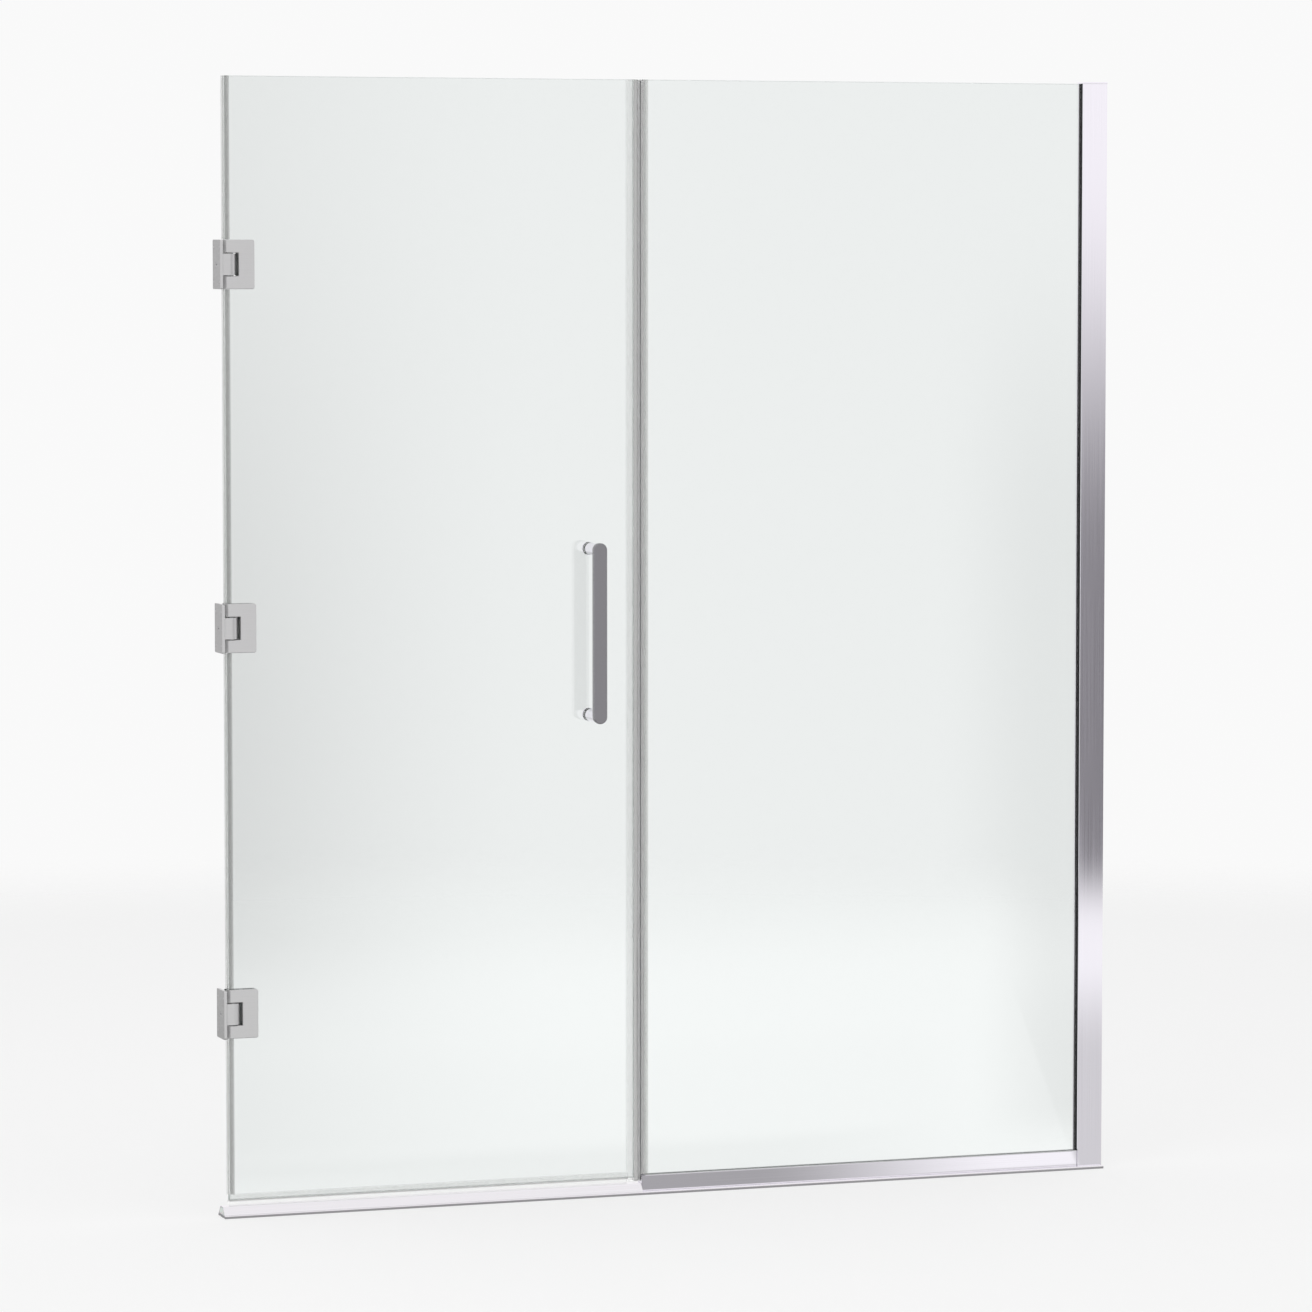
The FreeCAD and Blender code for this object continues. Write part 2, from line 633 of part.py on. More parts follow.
def door_glass():
    outline = [
        (DOOR_LEFT, DOOR_BOTTOM),
        (DOOR_RIGHT, DOOR_BOTTOM),
        (DOOR_RIGHT, "glass_top"),
        (DOOR_LEFT, "glass_top"),
    ]
    notch_end = "%s + glass_notch" % DOOR_LEFT
    for hinge in HINGES:
        high = "%s + %s" % (HINGE_LEVEL[hinge], HALF_CUTOUT)
        low = "%s - %s" % (HINGE_LEVEL[hinge], HALF_CUTOUT)
        outline += [(DOOR_LEFT, high), (notch_end, high), (notch_end, low), (DOOR_LEFT, low)]
    holes = [(spot, "handle_hole") for spot in handle_spots()]
    pane = profile("door_pane", "XZ", [outline], "glass_thickness", both_ways=True, circles=holes)
    notch_x = sheet.pin_offset - sheet.glass_setback + sheet.glass_notch - sheet.opening_width / 2
    dress(pane, "Fillet", "glass_notch_corner",
          lambda edge: runs_along(edge, INWARD) and lies_at(edge, ACROSS, notch_x))
    rim = sheet.glass_thickness / 2
    dress(pane, "Chamfer", "glass_bevel",
          lambda edge: lies_at(edge, INWARD, rim) or lies_at(edge, INWARD, -rim))
    keep(pane, "door_glass")


def door_seals():
    outer = "(%s - seal_wall)" % DOOR_LEFT
    tip = "(%s - side_seal_fin)" % outer
    legs = "(%s + side_seal_overlap)" % DOOR_LEFT
    front_half = [
        (DOOR_LEFT, "-" + HALF_GLASS),
        (legs, "-" + HALF_GLASS),
        (legs, "-" + SEAL_FACE),
        (outer, "-" + SEAL_FACE),
        (outer, "-(seal_wall / 2)"),
        (tip, "-(seal_wall / 2)"),
    ]
    rear_half = [(spot, depth[1:]) for spot, depth in reversed(front_half)]
    stops = [DOOR_BOTTOM + " + sweep_overlap + joint_gap"]
    for hinge in reversed(HINGES):
        stops.append("%s - %s - joint_gap" % (HINGE_LEVEL[hinge], HALF_HINGE))
        stops.append("%s + %s + joint_gap" % (HINGE_LEVEL[hinge], HALF_HINGE))
    stops.append("glass_top")
    lengths = []
    for low, high in zip(stops[::2], stops[1::2]):
        strip = profile("side_seal", "XY", [front_half + rear_half], "(%s) - (%s)" % (high, low))
        lengths.append(place(strip, "0", "0", low))
    keep(group("side_seals", lengths), "hinge_side_seals")

    base = "(%s - seal_wall)" % DOOR_BOTTOM
    leg_top = "(%s + sweep_overlap)" % DOOR_BOTTOM
    fin = "sweep_fin / 2"
    fin_foot = "(%s + sweep_clearance)" % THRESHOLD_TOP
    drip_foot = "(%s + %s) / 2" % (base, fin_foot)
    section = [
        ("-" + SEAL_FACE, leg_top),
        ("-" + SEAL_FACE, base),
        ("-" + fin, base),
        ("-" + fin, fin_foot),
        (fin, fin_foot),
        (fin, base),
        (SEAL_FACE + " - sweep_fin", base),
        (SEAL_FACE + " - sweep_fin + sweep_drip", drip_foot),
        (SEAL_FACE + " + sweep_drip", drip_foot),
        (SEAL_FACE, base),
        (SEAL_FACE, leg_top),
        (HALF_GLASS, leg_top),
        (HALF_GLASS, DOOR_BOTTOM),
        ("-" + HALF_GLASS, DOOR_BOTTOM),
        ("-" + HALF_GLASS, leg_top),
    ]
    length = "%s - door_strike_overlap - joint_gap - %s" % (DOOR_RIGHT, DOOR_LEFT)
    wiper = profile("wiper", "YZ", [section], length)
    keep(place(wiper, DOOR_LEFT), "door_sweep")


def handle_spots():
    """Where the two posts pass through the glass, as places along X and Z."""
    return [(PULL_ACROSS, "(handle_level %s %s)" % (side, POST_RISE)) for side in ("+", "-")]


def add_bar_outline(sketch):
    """The upright outline of the pull bar, centred, with a round end about each post."""
    radius = sheet.bar_width / 2
    rise = (sheet.bar_length - sheet.bar_width) / 2
    left = sketch.addGeometry(Part.LineSegment(Vector(-radius, rise), Vector(-radius, -rise)), False)
    low_circle = Part.Circle(Vector(0, -rise), UP, radius)
    low = sketch.addGeometry(Part.ArcOfCircle(low_circle, math.pi, 2 * math.pi), False)
    right = sketch.addGeometry(Part.LineSegment(Vector(radius, -rise), Vector(radius, rise)), False)
    high_circle = Part.Circle(Vector(0, rise), UP, radius)
    high = sketch.addGeometry(Part.ArcOfCircle(high_circle, 0, math.pi), False)
    chain = (left, low, right, high)
    for step, item in enumerate(chain):
        sketch.addConstraint(Sketcher.Constraint("Tangent", item, 2, chain[(step + 1) % 4], 1))
    for arc, side in ((low, -1), (high, 1)):
        sketch.addConstraint(Sketcher.Constraint("PointOnObject", arc, 3, -2))
        level = sketch.addConstraint(Sketcher.Constraint("DistanceY", arc, 3, side * rise))
        sketch.setExpression("Constraints[%d]" % level, formula("%d * %s" % (side, POST_RISE)))
        round_end = sketch.addConstraint(Sketcher.Constraint("Radius", arc, radius))
        sketch.setExpression("Constraints[%d]" % round_end, formula("bar_width / 2"))


def handle():
    bar_back = "(%s + bar_standoff)" % HALF_GLASS
    seat = "(%s + handle_washer)" % HALF_GLASS
    bore = "(stud_diameter / 2 + screw_clearance)"
    stud_end = "(%s + stud_length)" % bar_back

    blank = doc.addObject("PartDesign::Body", "bar")
    sketch = new_sketch(blank, "XZ", "bar_outline")
    add_bar_outline(sketch)
    pad = blank.newObject("PartDesign::Pad", "bar_pad")
    pad.Profile = sketch
    bind(pad, {"Length": "bar_thickness"})
    dress(blank, "Chamfer", "bar_bevel", lambda edge: not runs_along(edge, INWARD))
    place(blank, PULL_ACROSS, "-" + bar_back, "handle_level")
    stud_holes = []
    for spot in handle_spots():
        hole_end = "%s + screw_clearance" % stud_end
        stud_holes.append(rod("stud_hole", "Y", "2 * " + bore, "-(%s)" % hole_end, "-" + seat, spot))
    keep(cut("drilled_bar", blank, stud_holes), "handle_bar")

    post_outline = [
        (bore, "-" + seat),
        ("post_diameter / 2 - post_bevel", "-" + seat),
        ("post_diameter / 2", "-(%s + post_bevel)" % seat),
        ("post_diameter / 2", "-(%s - post_bevel)" % bar_back),
        ("post_diameter / 2 - post_bevel", "-" + bar_back),
        ("stud_diameter / 2", "-" + bar_back),
        ("stud_diameter / 2", "-" + stud_end),
        ("0", "-" + stud_end),
        ("0", "-(%s + handle_screw_bite + screw_clearance)" % seat),
        (bore, "-(%s + handle_screw_bite + screw_clearance)" % seat),
    ]
    cap_outline = [
        ("0", "-(%s + handle_screw_bite)" % seat),
        ("stud_diameter / 2", "-(%s + handle_screw_bite)" % seat),
        ("stud_diameter / 2", seat),
        ("cap_diameter / 2", seat),
        ("cap_diameter / 2", "%s + cap_height - cap_bevel" % seat),
        ("cap_diameter / 2 - cap_bevel", "%s + cap_height" % seat),
        ("0", "%s + cap_height" % seat),
    ]
    posts = []
    caps = []
    washers = []
    bushes = []
    for spot in handle_spots():
        posts.append(place(turned("post", "XY", post_outline), spot[0], "0", spot[1]))
        caps.append(place(turned("cap_screw", "XY", cap_outline), spot[0], "0", spot[1]))
        for side, low, high in (("outer", "-" + seat, "-" + HALF_GLASS), ("inner", HALF_GLASS, seat)):
            disc = rod("washer_disc_" + side, "Y", "post_diameter", low, high, spot)
            hole = rod("washer_hole_" + side, "Y", "2 * " + bore, low, high, spot)
            washers.append(cut("washer_" + side, disc, [hole]))
        sleeve = rod("sleeve", "Y", "handle_hole - 2 * screw_clearance", "-" + HALF_GLASS, HALF_GLASS, spot)
        passage = rod("sleeve_hole", "Y", "2 * " + bore, "-" + HALF_GLASS, HALF_GLASS, spot)
        bushes.append(cut("sleeve_bush", sleeve, [passage]))
    keep(group("posts", posts), "handle_posts")
    keep(group("cap_screws", caps), "handle_cap_screws")
    keep(group("washers", washers), "handle_washers")
    keep(group("sleeve_bushes", bushes), "handle_hole_bushes")


def seat_at_hinge(item, hinge, piece):
    """Move a piece from the hinge's own frame, at the wall in the middle of the plate, to its hinge."""
    return keep(place(item, LEFT_WALL, "0", HINGE_LEVEL[hinge]), "%s_hinge_%s" % (hinge, piece))


def wall_plate(hinge):
    half_depth = "plate_depth / 2"
    outline = [
        ("-" + half_depth, "-" + HALF_HINGE),
        (half_depth, "-" + HALF_HINGE),
        (half_depth, HALF_HINGE),
        ("-" + half_depth, HALF_HINGE),
    ]
    plate = profile("plate", "YZ", [outline], "plate_thickness")
    dress(plate, "Fillet", "plate_corner", lambda edge: runs_along(edge, ACROSS))
    face = sheet.plate_thickness
    dress(plate, "Chamfer", "plate_bevel", lambda edge: lies_at(edge, ACROSS, face))
    tongue_side = "tongue_depth / 2"
    tongue = box(
        "tongue",
        ("0", "pin_offset"),
        ("-" + tongue_side, tongue_side),
        ("-" + HALF_TONGUE, HALF_TONGUE),
    )
    axis = ("pin_offset", "0")
    nose = rod("tongue_nose", "Z", "tongue_depth", "-" + HALF_TONGUE, HALF_TONGUE, axis)

    bush_bore = "pin_diameter + 4 * running_clearance + 2 * bush_wall"
    bush_stop = "bush_spacing / 2"
    plunger_bore = "plunger_diameter + 2 * running_clearance"
    tools = [
        rod("cam_bore", "Z", "pin_diameter + 2 * cam_clearance", "-hinge_height", "hinge_height", axis),
        rod("high_bush_bore", "Z", bush_bore, bush_stop, "hinge_height", axis),
        rod("low_bush_bore", "Z", bush_bore, "-hinge_height", "-" + bush_stop, axis),
        rod("plunger_bore", "X", plunger_bore, "-plate_thickness", "pin_offset"),
    ]
    sink = "plate_thickness - (wall_countersink - wall_hole) / 2"
    for side in ("-1", "1"):
        for rise in ("-1", "1"):
            spot = (
                "%s * (plate_depth / 2 - wall_hole_inset)" % side,
                "%s * (%s - wall_hole_rise)" % (rise, HALF_HINGE),
            )
            ends = ("-plate_thickness", "plate_thickness")
            tools.append(rod("wall_hole", "X", "wall_hole", *ends, spot))
            ends = (sink, "plate_thickness")
            tools.append(taper("wall_sink", "X", "wall_hole", "wall_countersink", *ends, spot))
    body = cut("drilled_plate", fuse("plate_and_tongue", [plate, tongue, nose]), tools)
    seat_at_hinge(body, hinge, "wall_plate")


def pin_and_bushes(hinge):
    inner = "(pin_diameter / 2 + running_clearance)"
    outer = "(%s + bush_wall)" % inner
    rim = "bush_flange_diameter / 2"
    bushes = []
    for side in ("1", "-1"):
        low = "%s * bush_spacing / 2" % side
        shoulder = "%s * %s" % (side, HALF_TONGUE)
        high = "%s * (%s + bush_flange)" % (side, HALF_TONGUE)
        outline = [(inner, low), (outer, low), (outer, shoulder), (rim, shoulder), (rim, high), (inner, high)]
        bushes.append(place(turned("bush", "XZ", outline), "pin_offset"))
    seat_at_hinge(group("bush_pair", bushes), hinge, "bushes")

    axis = ("pin_offset", "0")
    flat = "cam_flats / 2"
    shaft = rod("pin_shaft", "Z", "pin_diameter", "-" + NOTCH_HALF, NOTCH_HALF, axis)
    ring = cut(
        "cam_ring",
        rod("cam_round", "Z", "2 * pin_diameter", "-cam_height / 2", "cam_height / 2", axis),
        [box(
            "cam_square",
            ("pin_offset - " + flat, "pin_offset + " + flat),
            ("-" + flat, flat),
            ("-cam_height", "cam_height"),
        )],
    )
    parts = [cut("pin_cam", shaft, [ring])]
    for low, high in ((NOTCH_HALF, HALF_PIN), ("-" + HALF_PIN, "-" + NOTCH_HALF)):
        parts.append(box(
            "pin_square",
            ("pin_offset - " + CLAMP_BACK, "pin_offset + " + CLAMP_BACK),
            ("-" + CLAMP_BACK, CLAMP_BACK),
            (low, high),
        ))
    seat_at_hinge(fuse("pin", parts), hinge, "pivot_pin")


def detent(hinge):
    """A plug, a stack of disc springs and a plunger, one behind the other in the tongue's cross bore."""
    plug_face = "(plug_recess + plug_thickness)"
    plug = rod("plug", "X", "plunger_diameter", "plug_recess", plug_face)
    drive = socket("plug_socket", "X", "-plug_recess", "plug_recess + socket_depth", ("0", "0"))
    seat_at_hinge(cut("spring_plug", plug, [drive]), hinge, "spring_plug")

    discs = []
    count = int(sheet.spring_discs)
    for index in range(count):
        start = "(%s + %d * spring_disc_pitch)" % (plug_face, index)
        end = "(%s + spring_disc_pitch - spring_disc_thickness - spring_disc_play)" % start
        at_bore, at_rim = (start, end) if index % 2 == 0 else (end, start)
        outline = [
            ("spring_disc_bore / 2", at_bore),
            ("spring_disc_outside / 2", at_rim),
            ("spring_disc_outside / 2", at_rim + " + spring_disc_thickness"),
            ("spring_disc_bore / 2", at_bore + " + spring_disc_thickness"),
        ]
        disc = turned("spring_disc", "XZ", outline)
        disc.Placement.Rotation = AXIS_TURN["X"]
        discs.append(disc)
    seat_at_hinge(group("disc_stack", discs), hinge, "detent_spring")

    back = "%s + spring_discs * spring_disc_pitch" % plug_face
    tip = "(pin_offset - pin_diameter / 2 - plunger_clearance)"
    outline = [
        ("0", back),
        ("plunger_diameter / 2", back),
        ("plunger_diameter / 2", tip + " - plunger_bevel"),
        ("plunger_diameter / 2 - plunger_bevel", tip),
        ("0", tip),
    ]
    plunger = turned("plunger", "XZ", outline)
    plunger.Placement.Rotation = AXIS_TURN["X"]
    seat_at_hinge(plunger, hinge, "detent_plunger")


def clamp_screw_spots():
    across = "pin_offset + clamp_screw_reach"
    return [(across, "%s (%s - clamp_screw_inset)" % (side, HALF_HINGE)) for side in ("+", "-")]


def clamps(hinge):
    start = "(pin_offset - clamp_tail)"
    end = "(pin_offset - clamp_tail + clamp_width)"
    notch = "(pin_offset + tongue_depth / 2 + notch_clearance)"
    outline = [
        (start, "-" + HALF_HINGE),
        (end, "-" + HALF_HINGE),
        (end, HALF_HINGE),
        (start, HALF_HINGE),
        (start, NOTCH_HALF),
        (notch, NOTCH_HALF),
        (notch, "-" + NOTCH_HALF),
        (start, "-" + NOTCH_HALF),
    ]
    swing = "2 * (pin_offset - plate_thickness - swing_clearance)"
    hole = "clamp_screw_diameter + 2 * screw_clearance"
    mouth = "clamp_screw_head + 2 * screw_clearance"
    sink = "(%s - (clamp_screw_head - clamp_screw_diameter) / 2)" % CLAMP_FACE
    blind_end = "-(%s + clamp_screw_bite + screw_clearance)" % CLAMP_BACK

    for side, sign, backwards in (("front", "-", False), ("rear", "", True)):
        blank = profile("clamp_" + side, "XZ", [outline], "clamp_thickness", backwards=backwards)
        far_end = sheet.pin_offset - sheet.clamp_tail + sheet.clamp_width
        dress(blank, "Fillet", "clamp_corner",
              lambda edge: runs_along(edge, INWARD) and lies_at(edge, ACROSS, far_end))
        face = sheet.clamp_thickness * (1 if backwards else -1)
        dress(blank, "Chamfer", "clamp_bevel", lambda edge: lies_at(edge, INWARD, face))
        place(blank, "0", sign + CLAMP_BACK)
        barrel = rod("swing_barrel", "Z", swing, "-hinge_height", "hinge_height", ("pin_offset", "0"))
        ahead = box(
            "swing_ahead",
            ("pin_offset", "pin_offset + 2 * clamp_width"),
            ("-2 * " + CLAMP_FACE, "2 * " + CLAMP_FACE),
            ("-hinge_height", "hinge_height"),
        )
        trimmed = doc.addObject("Part::MultiCommon", "clamp_trimmed")
        trimmed.Shapes = [blank, fuse("swing_room", [barrel, ahead])]
        tools = []
        for spot in clamp_screw_spots():
            if side == "front":
                tools.append(rod("tapped_hole", "Y", hole, blind_end, "0", spot))
            else:
                tools.append(rod("through_hole", "Y", hole, "0", CLAMP_FACE, spot))
                tools.append(taper("head_sink", "Y", hole, mouth, sink, CLAMP_FACE, spot))
        seat_at_hinge(cut("drilled_clamp", trimmed, tools), hinge, side + "_clamp")

    door_edge = "(pin_offset - glass_setback)"
    gasket_half = "(%s - clamp_gasket_inset)" % HALF_HINGE
    window_half = "(%s + joint_gap)" % HALF_PIN
    for side, low, high in (("front", "-" + CLAMP_BACK, "-" + HALF_GLASS), ("rear", HALF_GLASS, CLAMP_BACK)):
        full_gasket = box(
            "full_gasket",
            (door_edge, end + " - clamp_gasket_inset"),
            (low, high),
            ("-" + gasket_half, gasket_half),
        )
        window = box(
            "gasket_window",
            (start, door_edge + " + glass_notch + clamp_gasket_inset"),
            (low, high),
            ("-" + window_half, window_half),
        )
        seat_at_hinge(cut("gasket", full_gasket, [window]), hinge, side + "_gasket")

    screws = []
    tip = "-(%s + clamp_screw_bite)" % CLAMP_BACK
    for spot in clamp_screw_spots():
        thick = "clamp_screw_diameter"
        shank = rod("clamp_screw_shank", "Y", thick, tip, sink, spot)
        head = taper("clamp_screw_cone", "Y", thick, "clamp_screw_head", sink, CLAMP_FACE, spot)
        ends = (CLAMP_FACE + " - socket_depth", CLAMP_FACE + " + socket_depth")
        drive = socket("clamp_screw_socket", "Y", *ends, spot)
        screws.append(cut("clamp_screw", fuse("clamp_screw_blank", [shank, head]), [drive]))
    seat_at_hinge(group("clamp_screw_pair", screws), hinge, "clamp_screws")


def write_pieces():
    """Check every object and piece, then write one file per piece."""
    doc.recompute()
    for item in doc.Objects:
        if "Invalid" in item.State or "Error" in item.State:
            raise RuntimeError("%s (%s) did not compute" % (item.Name, item.Label))
    for piece in pieces:
        if piece.Shape.isNull() or not piece.Shape.isValid() or not piece.Shape.Solids:
            raise RuntimeError("%s has no valid solid" % piece.Label)
    os.makedirs("parts", exist_ok=True)
    for piece in pieces:
        piece.Shape.exportStep(os.path.join("parts", piece.Label + ".step"))
    print("%d pieces, %d solids" % (len(pieces), sum(len(piece.Shape.Solids) for piece in pieces)))


sill_and_threshold()
panel_channel()
wall_jamb()
panel_glass()
strike_seal("panel", PANEL_SEAL_END, PANEL_LEFT, "panel_strike_overlap", "-1",
            CHANNEL_TOP + " + channel_gasket_lip + joint_gap")
door_glass()
strike_seal("door", DOOR_SEAL_END, DOOR_RIGHT, "door_strike_overlap", "1",
            THRESHOLD_TOP + " + strike_clearance")
door_seals()
handle()
for hinge_name in HINGES:
    wall_plate(hinge_name)
    pin_and_bushes(hinge_name)
    detent(hinge_name)
    clamps(hinge_name)
write_pieces()
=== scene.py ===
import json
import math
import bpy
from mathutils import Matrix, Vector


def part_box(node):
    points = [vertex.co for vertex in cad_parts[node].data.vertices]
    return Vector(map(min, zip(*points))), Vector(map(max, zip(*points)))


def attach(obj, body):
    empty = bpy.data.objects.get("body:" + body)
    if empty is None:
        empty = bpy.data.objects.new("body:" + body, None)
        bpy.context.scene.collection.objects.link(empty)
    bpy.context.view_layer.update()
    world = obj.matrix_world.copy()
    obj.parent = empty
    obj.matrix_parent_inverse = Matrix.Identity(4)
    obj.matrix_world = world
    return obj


bl_info = {
    "name": "Hinged shower door",
    "version": (1, 0, 0),
    "blender": (4, 5, 0),
    "location": "View3D > Sidebar > Shower door",
    "description": "Finishes, wall screws, threshold plugs, studio and camera for a hinged shower door",
    "category": "Object",
}

import bmesh
import bpy
from bpy.props import FloatProperty, FloatVectorProperty, PointerProperty
from mathutils import Matrix, Vector

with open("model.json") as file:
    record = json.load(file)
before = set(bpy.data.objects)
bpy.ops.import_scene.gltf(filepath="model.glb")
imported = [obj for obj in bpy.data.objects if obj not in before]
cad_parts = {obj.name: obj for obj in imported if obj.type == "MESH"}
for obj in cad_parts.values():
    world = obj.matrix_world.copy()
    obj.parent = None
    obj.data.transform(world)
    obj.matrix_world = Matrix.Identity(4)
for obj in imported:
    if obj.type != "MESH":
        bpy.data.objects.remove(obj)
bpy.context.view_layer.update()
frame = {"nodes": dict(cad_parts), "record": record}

HINGES = ("top", "middle", "bottom")
WHITE = (1.0, 1.0, 1.0)

# Meshes of the CAD nodes
WELD_DISTANCE = 0.00001
FLAT_ANGLE = math.radians(1)  # faces of a profile that lie this flat to each other become one
ROUND_ANGLE = math.radians(60)  # edges of a profile sharper than this are rounded
SPLIT_ANGLE = math.radians(30)  # edges of the glass sharper than this stay sharp

# Wall screws
WALL_SCREW_TURNS = (12, 57, 31, 78)  # how far each screw of a plate was driven, in degrees
SCREW_SEGMENTS = 40
SCREW_SHARP_ANGLE = math.radians(35)
SCREW_RIM = 0.00025  # height of the head's rim
SCREW_SUNK = 0.0001  # how far the head lies under the plate's face
SCREW_END_GAP = 0.00005  # how far the shank ends short of the wall
THREAD_DEPTH = 0.0004
SHANK_END_ROUNDING = 0.0003
RECESS_TAPER = 0.45  # width of the recess at its bottom, as a share of its width at the top

PLUG_SHARP_ANGLE = math.radians(50)

# Grains per metre along X, Y and Z
GLASS_WAVES = (5.0, 5.0, 3.0)
HINGE_GRAIN = (30.0, 30.0, 1800.0)
CAST_GRAIN = (600.0, 600.0, 600.0)
PULL_GRAIN = (2200.0, 2200.0, 14.0)
LEVEL_GRAIN = (3.0, 1500.0, 1500.0)
UPRIGHT_GRAIN = (1500.0, 1500.0, 3.0)
LEVEL_LINES = (1.5, 900.0, 900.0)
UPRIGHT_LINES = (900.0, 900.0, 1.5)
PLATING_HAZE = (40.0, 40.0, 40.0)
RUBBER_CRUMB = (1500.0, 1500.0, 1500.0)
WASHER_CLOUD = (300.0, 300.0, 300.0)
NYLON_CLOUD = (120.0, 120.0, 120.0)
STEEL_RINGS = (700.0, 700.0, 700.0)
NOISE_MIDDLE = (0.3, 0.7)  # the range in which most of a noise lies

HINGE_GRAIN_DEPTH = 0.000004
SPAN_BLUR = 0.0003  # soft ends of the tinted spans of a seal
GROUND_EDGE = (0.8, 0.98)  # how far a face of the glass looks along Y where it is ground and where polished
CAST_SIDE = (-0.95, -0.8)  # how far a face of a hinge plate looks along X where it is raw and where satin

# The floor seen through the glass, with painted shade towards either side and painted light close to the
# door; four numbers give two places and the tones there
FLOOR_SEGMENTS = 128
FLOOR_DROP = 0.0005  # how far the floor lies under the sill
BEHIND_DOOR = (0.1, 0.7, 0.0, 1.0)
HINGE_SIDE_SLANT = 0.27
HINGE_SIDE_WEIGHT = (1.5, 3.6, 0.65, 1.05)
HINGE_SIDE_BAND = (-2.4, -1.5, -1.31, 0.0)
JAMB_SIDE_SLANT = 0.42
JAMB_SIDE_BAND = (0.5, 0.72, 5.0, 6.0)
CLOSE_PAINTED_LIGHT = (2.4, 4.0, 1.07, 1.0)

# The painted reflection of the floor in bright metal; four numbers give two places and the tones there
MIRROR_SLANT = 0.364
MIRROR_REAR = (0.0, 0.03, -10.0, 0.73)  # behind the door, the floor is even from one side to the other
MIRROR_ACROSS = (0.12, 0.62, 0.41, 1.0)
MIRROR_BESIDE = (0.712, 0.724, 1.0, 0.68)
MIRROR_FAR = (0.25, 0.60, 0.0, 1.0)
MIRROR_FAR_BESIDE = (0.712, 0.724, 0.88, 0.68)
MIRROR_BRIGHT = (1.2, 2.7, 0.0, 0.34)
MIRROR_NEAR = (0.035, 0.07, 0.32, 1.0)

# The world round the floor, with painted shade behind the glass and a painted dark band that bright metal
# mirrors; bands are bearings in degrees, heights are those of a direction
SKY_BAND = (3.0, 10.0, 12.5, 18.2)
SKY_WEIGHT = (-0.09, 0.03, 1.0, 0.4)
PAINTED_DARK_BAND = (21.9, 23.1, 50.0, 65.0)
PAINTED_DARK_HEIGHT = (-0.055, 0.012, 1.0, 0.0)


def finish_colour(name, description, default):
    """A setting for a colour."""
    return FloatVectorProperty(
        name=name, description=description, default=default, subtype="COLOR", size=3, min=0.0, max=1.0
    )


def share(name, description, default):
    """A setting from nought to one."""
    return FloatProperty(
        name=name, description=description, default=default, subtype="FACTOR", min=0.0, max=1.0
    )


def length(name, description, default):
    """A setting for a length in metres."""
    return FloatProperty(name=name, description=description, default=default, unit="LENGTH", precision=5)


def angle(name, description, degrees):
    """A setting for an angle."""
    return FloatProperty(name=name, description=description, default=math.radians(degrees), subtype="ANGLE")


def watts(name, description, default):
    """A setting for the power of a lamp."""
    return FloatProperty(name=name, description=description, default=default, min=0.0)


class ShowerDoorFinishes(bpy.types.PropertyGroup):
    """Colours and gloss of the finishes."""

    glass_tint: finish_colour("Glass", "Tint of the glass seen through its faces", (0.865, 0.892, 0.884))
    glass_edge: finish_colour("Glass edge", "Tint of the ground glass edges", (0.50, 0.68, 0.62))
    hinge_metal: finish_colour("Hinge metal", "Satin metal of the hinges", (0.62, 0.62, 0.62))
    pull_metal: finish_colour("Pull bar", "Brushed metal of the pull bar", (0.255, 0.251, 0.265))
    chrome: finish_colour("Chrome", "Bright plating of posts, jamb and channel", (0.91, 0.885, 0.945))
    aluminium: finish_colour("Bright aluminium", "Sill, threshold and wall channel", (0.845, 0.83, 0.857))
    steel: finish_colour("Steel", "Screws, pins and springs", (0.58, 0.58, 0.59))
    clear_seal: finish_colour("Clear seal", "Clear vinyl of the seals", (0.955, 0.96, 0.955))
    side_seal: finish_colour("Side seal", "Smoky vinyl of the side seals on the glass", (0.69, 0.69, 0.685))
    seal_web: finish_colour("Seal web", "Smoky vinyl between glass and magnet strips", (0.50, 0.50, 0.495))
    seal_leg: finish_colour("Seal leg", "Smoky vinyl of the strike seal on the panel", (0.80, 0.80, 0.795))
    seal_lip: finish_colour("Seal lip", "Clear lip of the strike seal on the door", (1.0, 1.0, 1.0))
    sweep_web: finish_colour("Sweep web", "Smoky vinyl of the sweep under the glass", (0.62, 0.62, 0.615))
    magnet: finish_colour("Magnet strip", "Magnet strips inside the strike seals", (0.52, 0.52, 0.525))
    clamp_gasket: finish_colour("Clamp gasket", "Gaskets of the hinge clamps", (0.30, 0.305, 0.31))
    channel_gasket: finish_colour("Channel gasket", "Gaskets of the panel channel", (0.64, 0.645, 0.65))
    black_gasket: finish_colour("Black gasket", "Gaskets of the wall jamb", (0.010, 0.010, 0.011))
    nylon: finish_colour("Nylon", "Bushes, setting blocks, sleeves and plugs", (0.80, 0.80, 0.77))
    plate_back: finish_colour("Plate back", "Raw casting on a plate's wall side", (0.36, 0.36, 0.36))
    edge_roughness: share("Edge roughness", "Roughness of the ground glass edges", 0.5)
    hinge_roughness: share("Hinge roughness", "Roughness of the satin hinge metal", 0.36)
    pull_roughness: share("Pull roughness", "Roughness of the brushed pull bar", 0.2)
    chrome_roughness: share("Chrome roughness", "Roughness of the bright plating", 0.07)
    aluminium_roughness: share("Aluminium roughness", "Roughness of the bright aluminium", 0.16)
    seal_roughness: share("Seal roughness", "Roughness of the clear vinyl", 0.06)


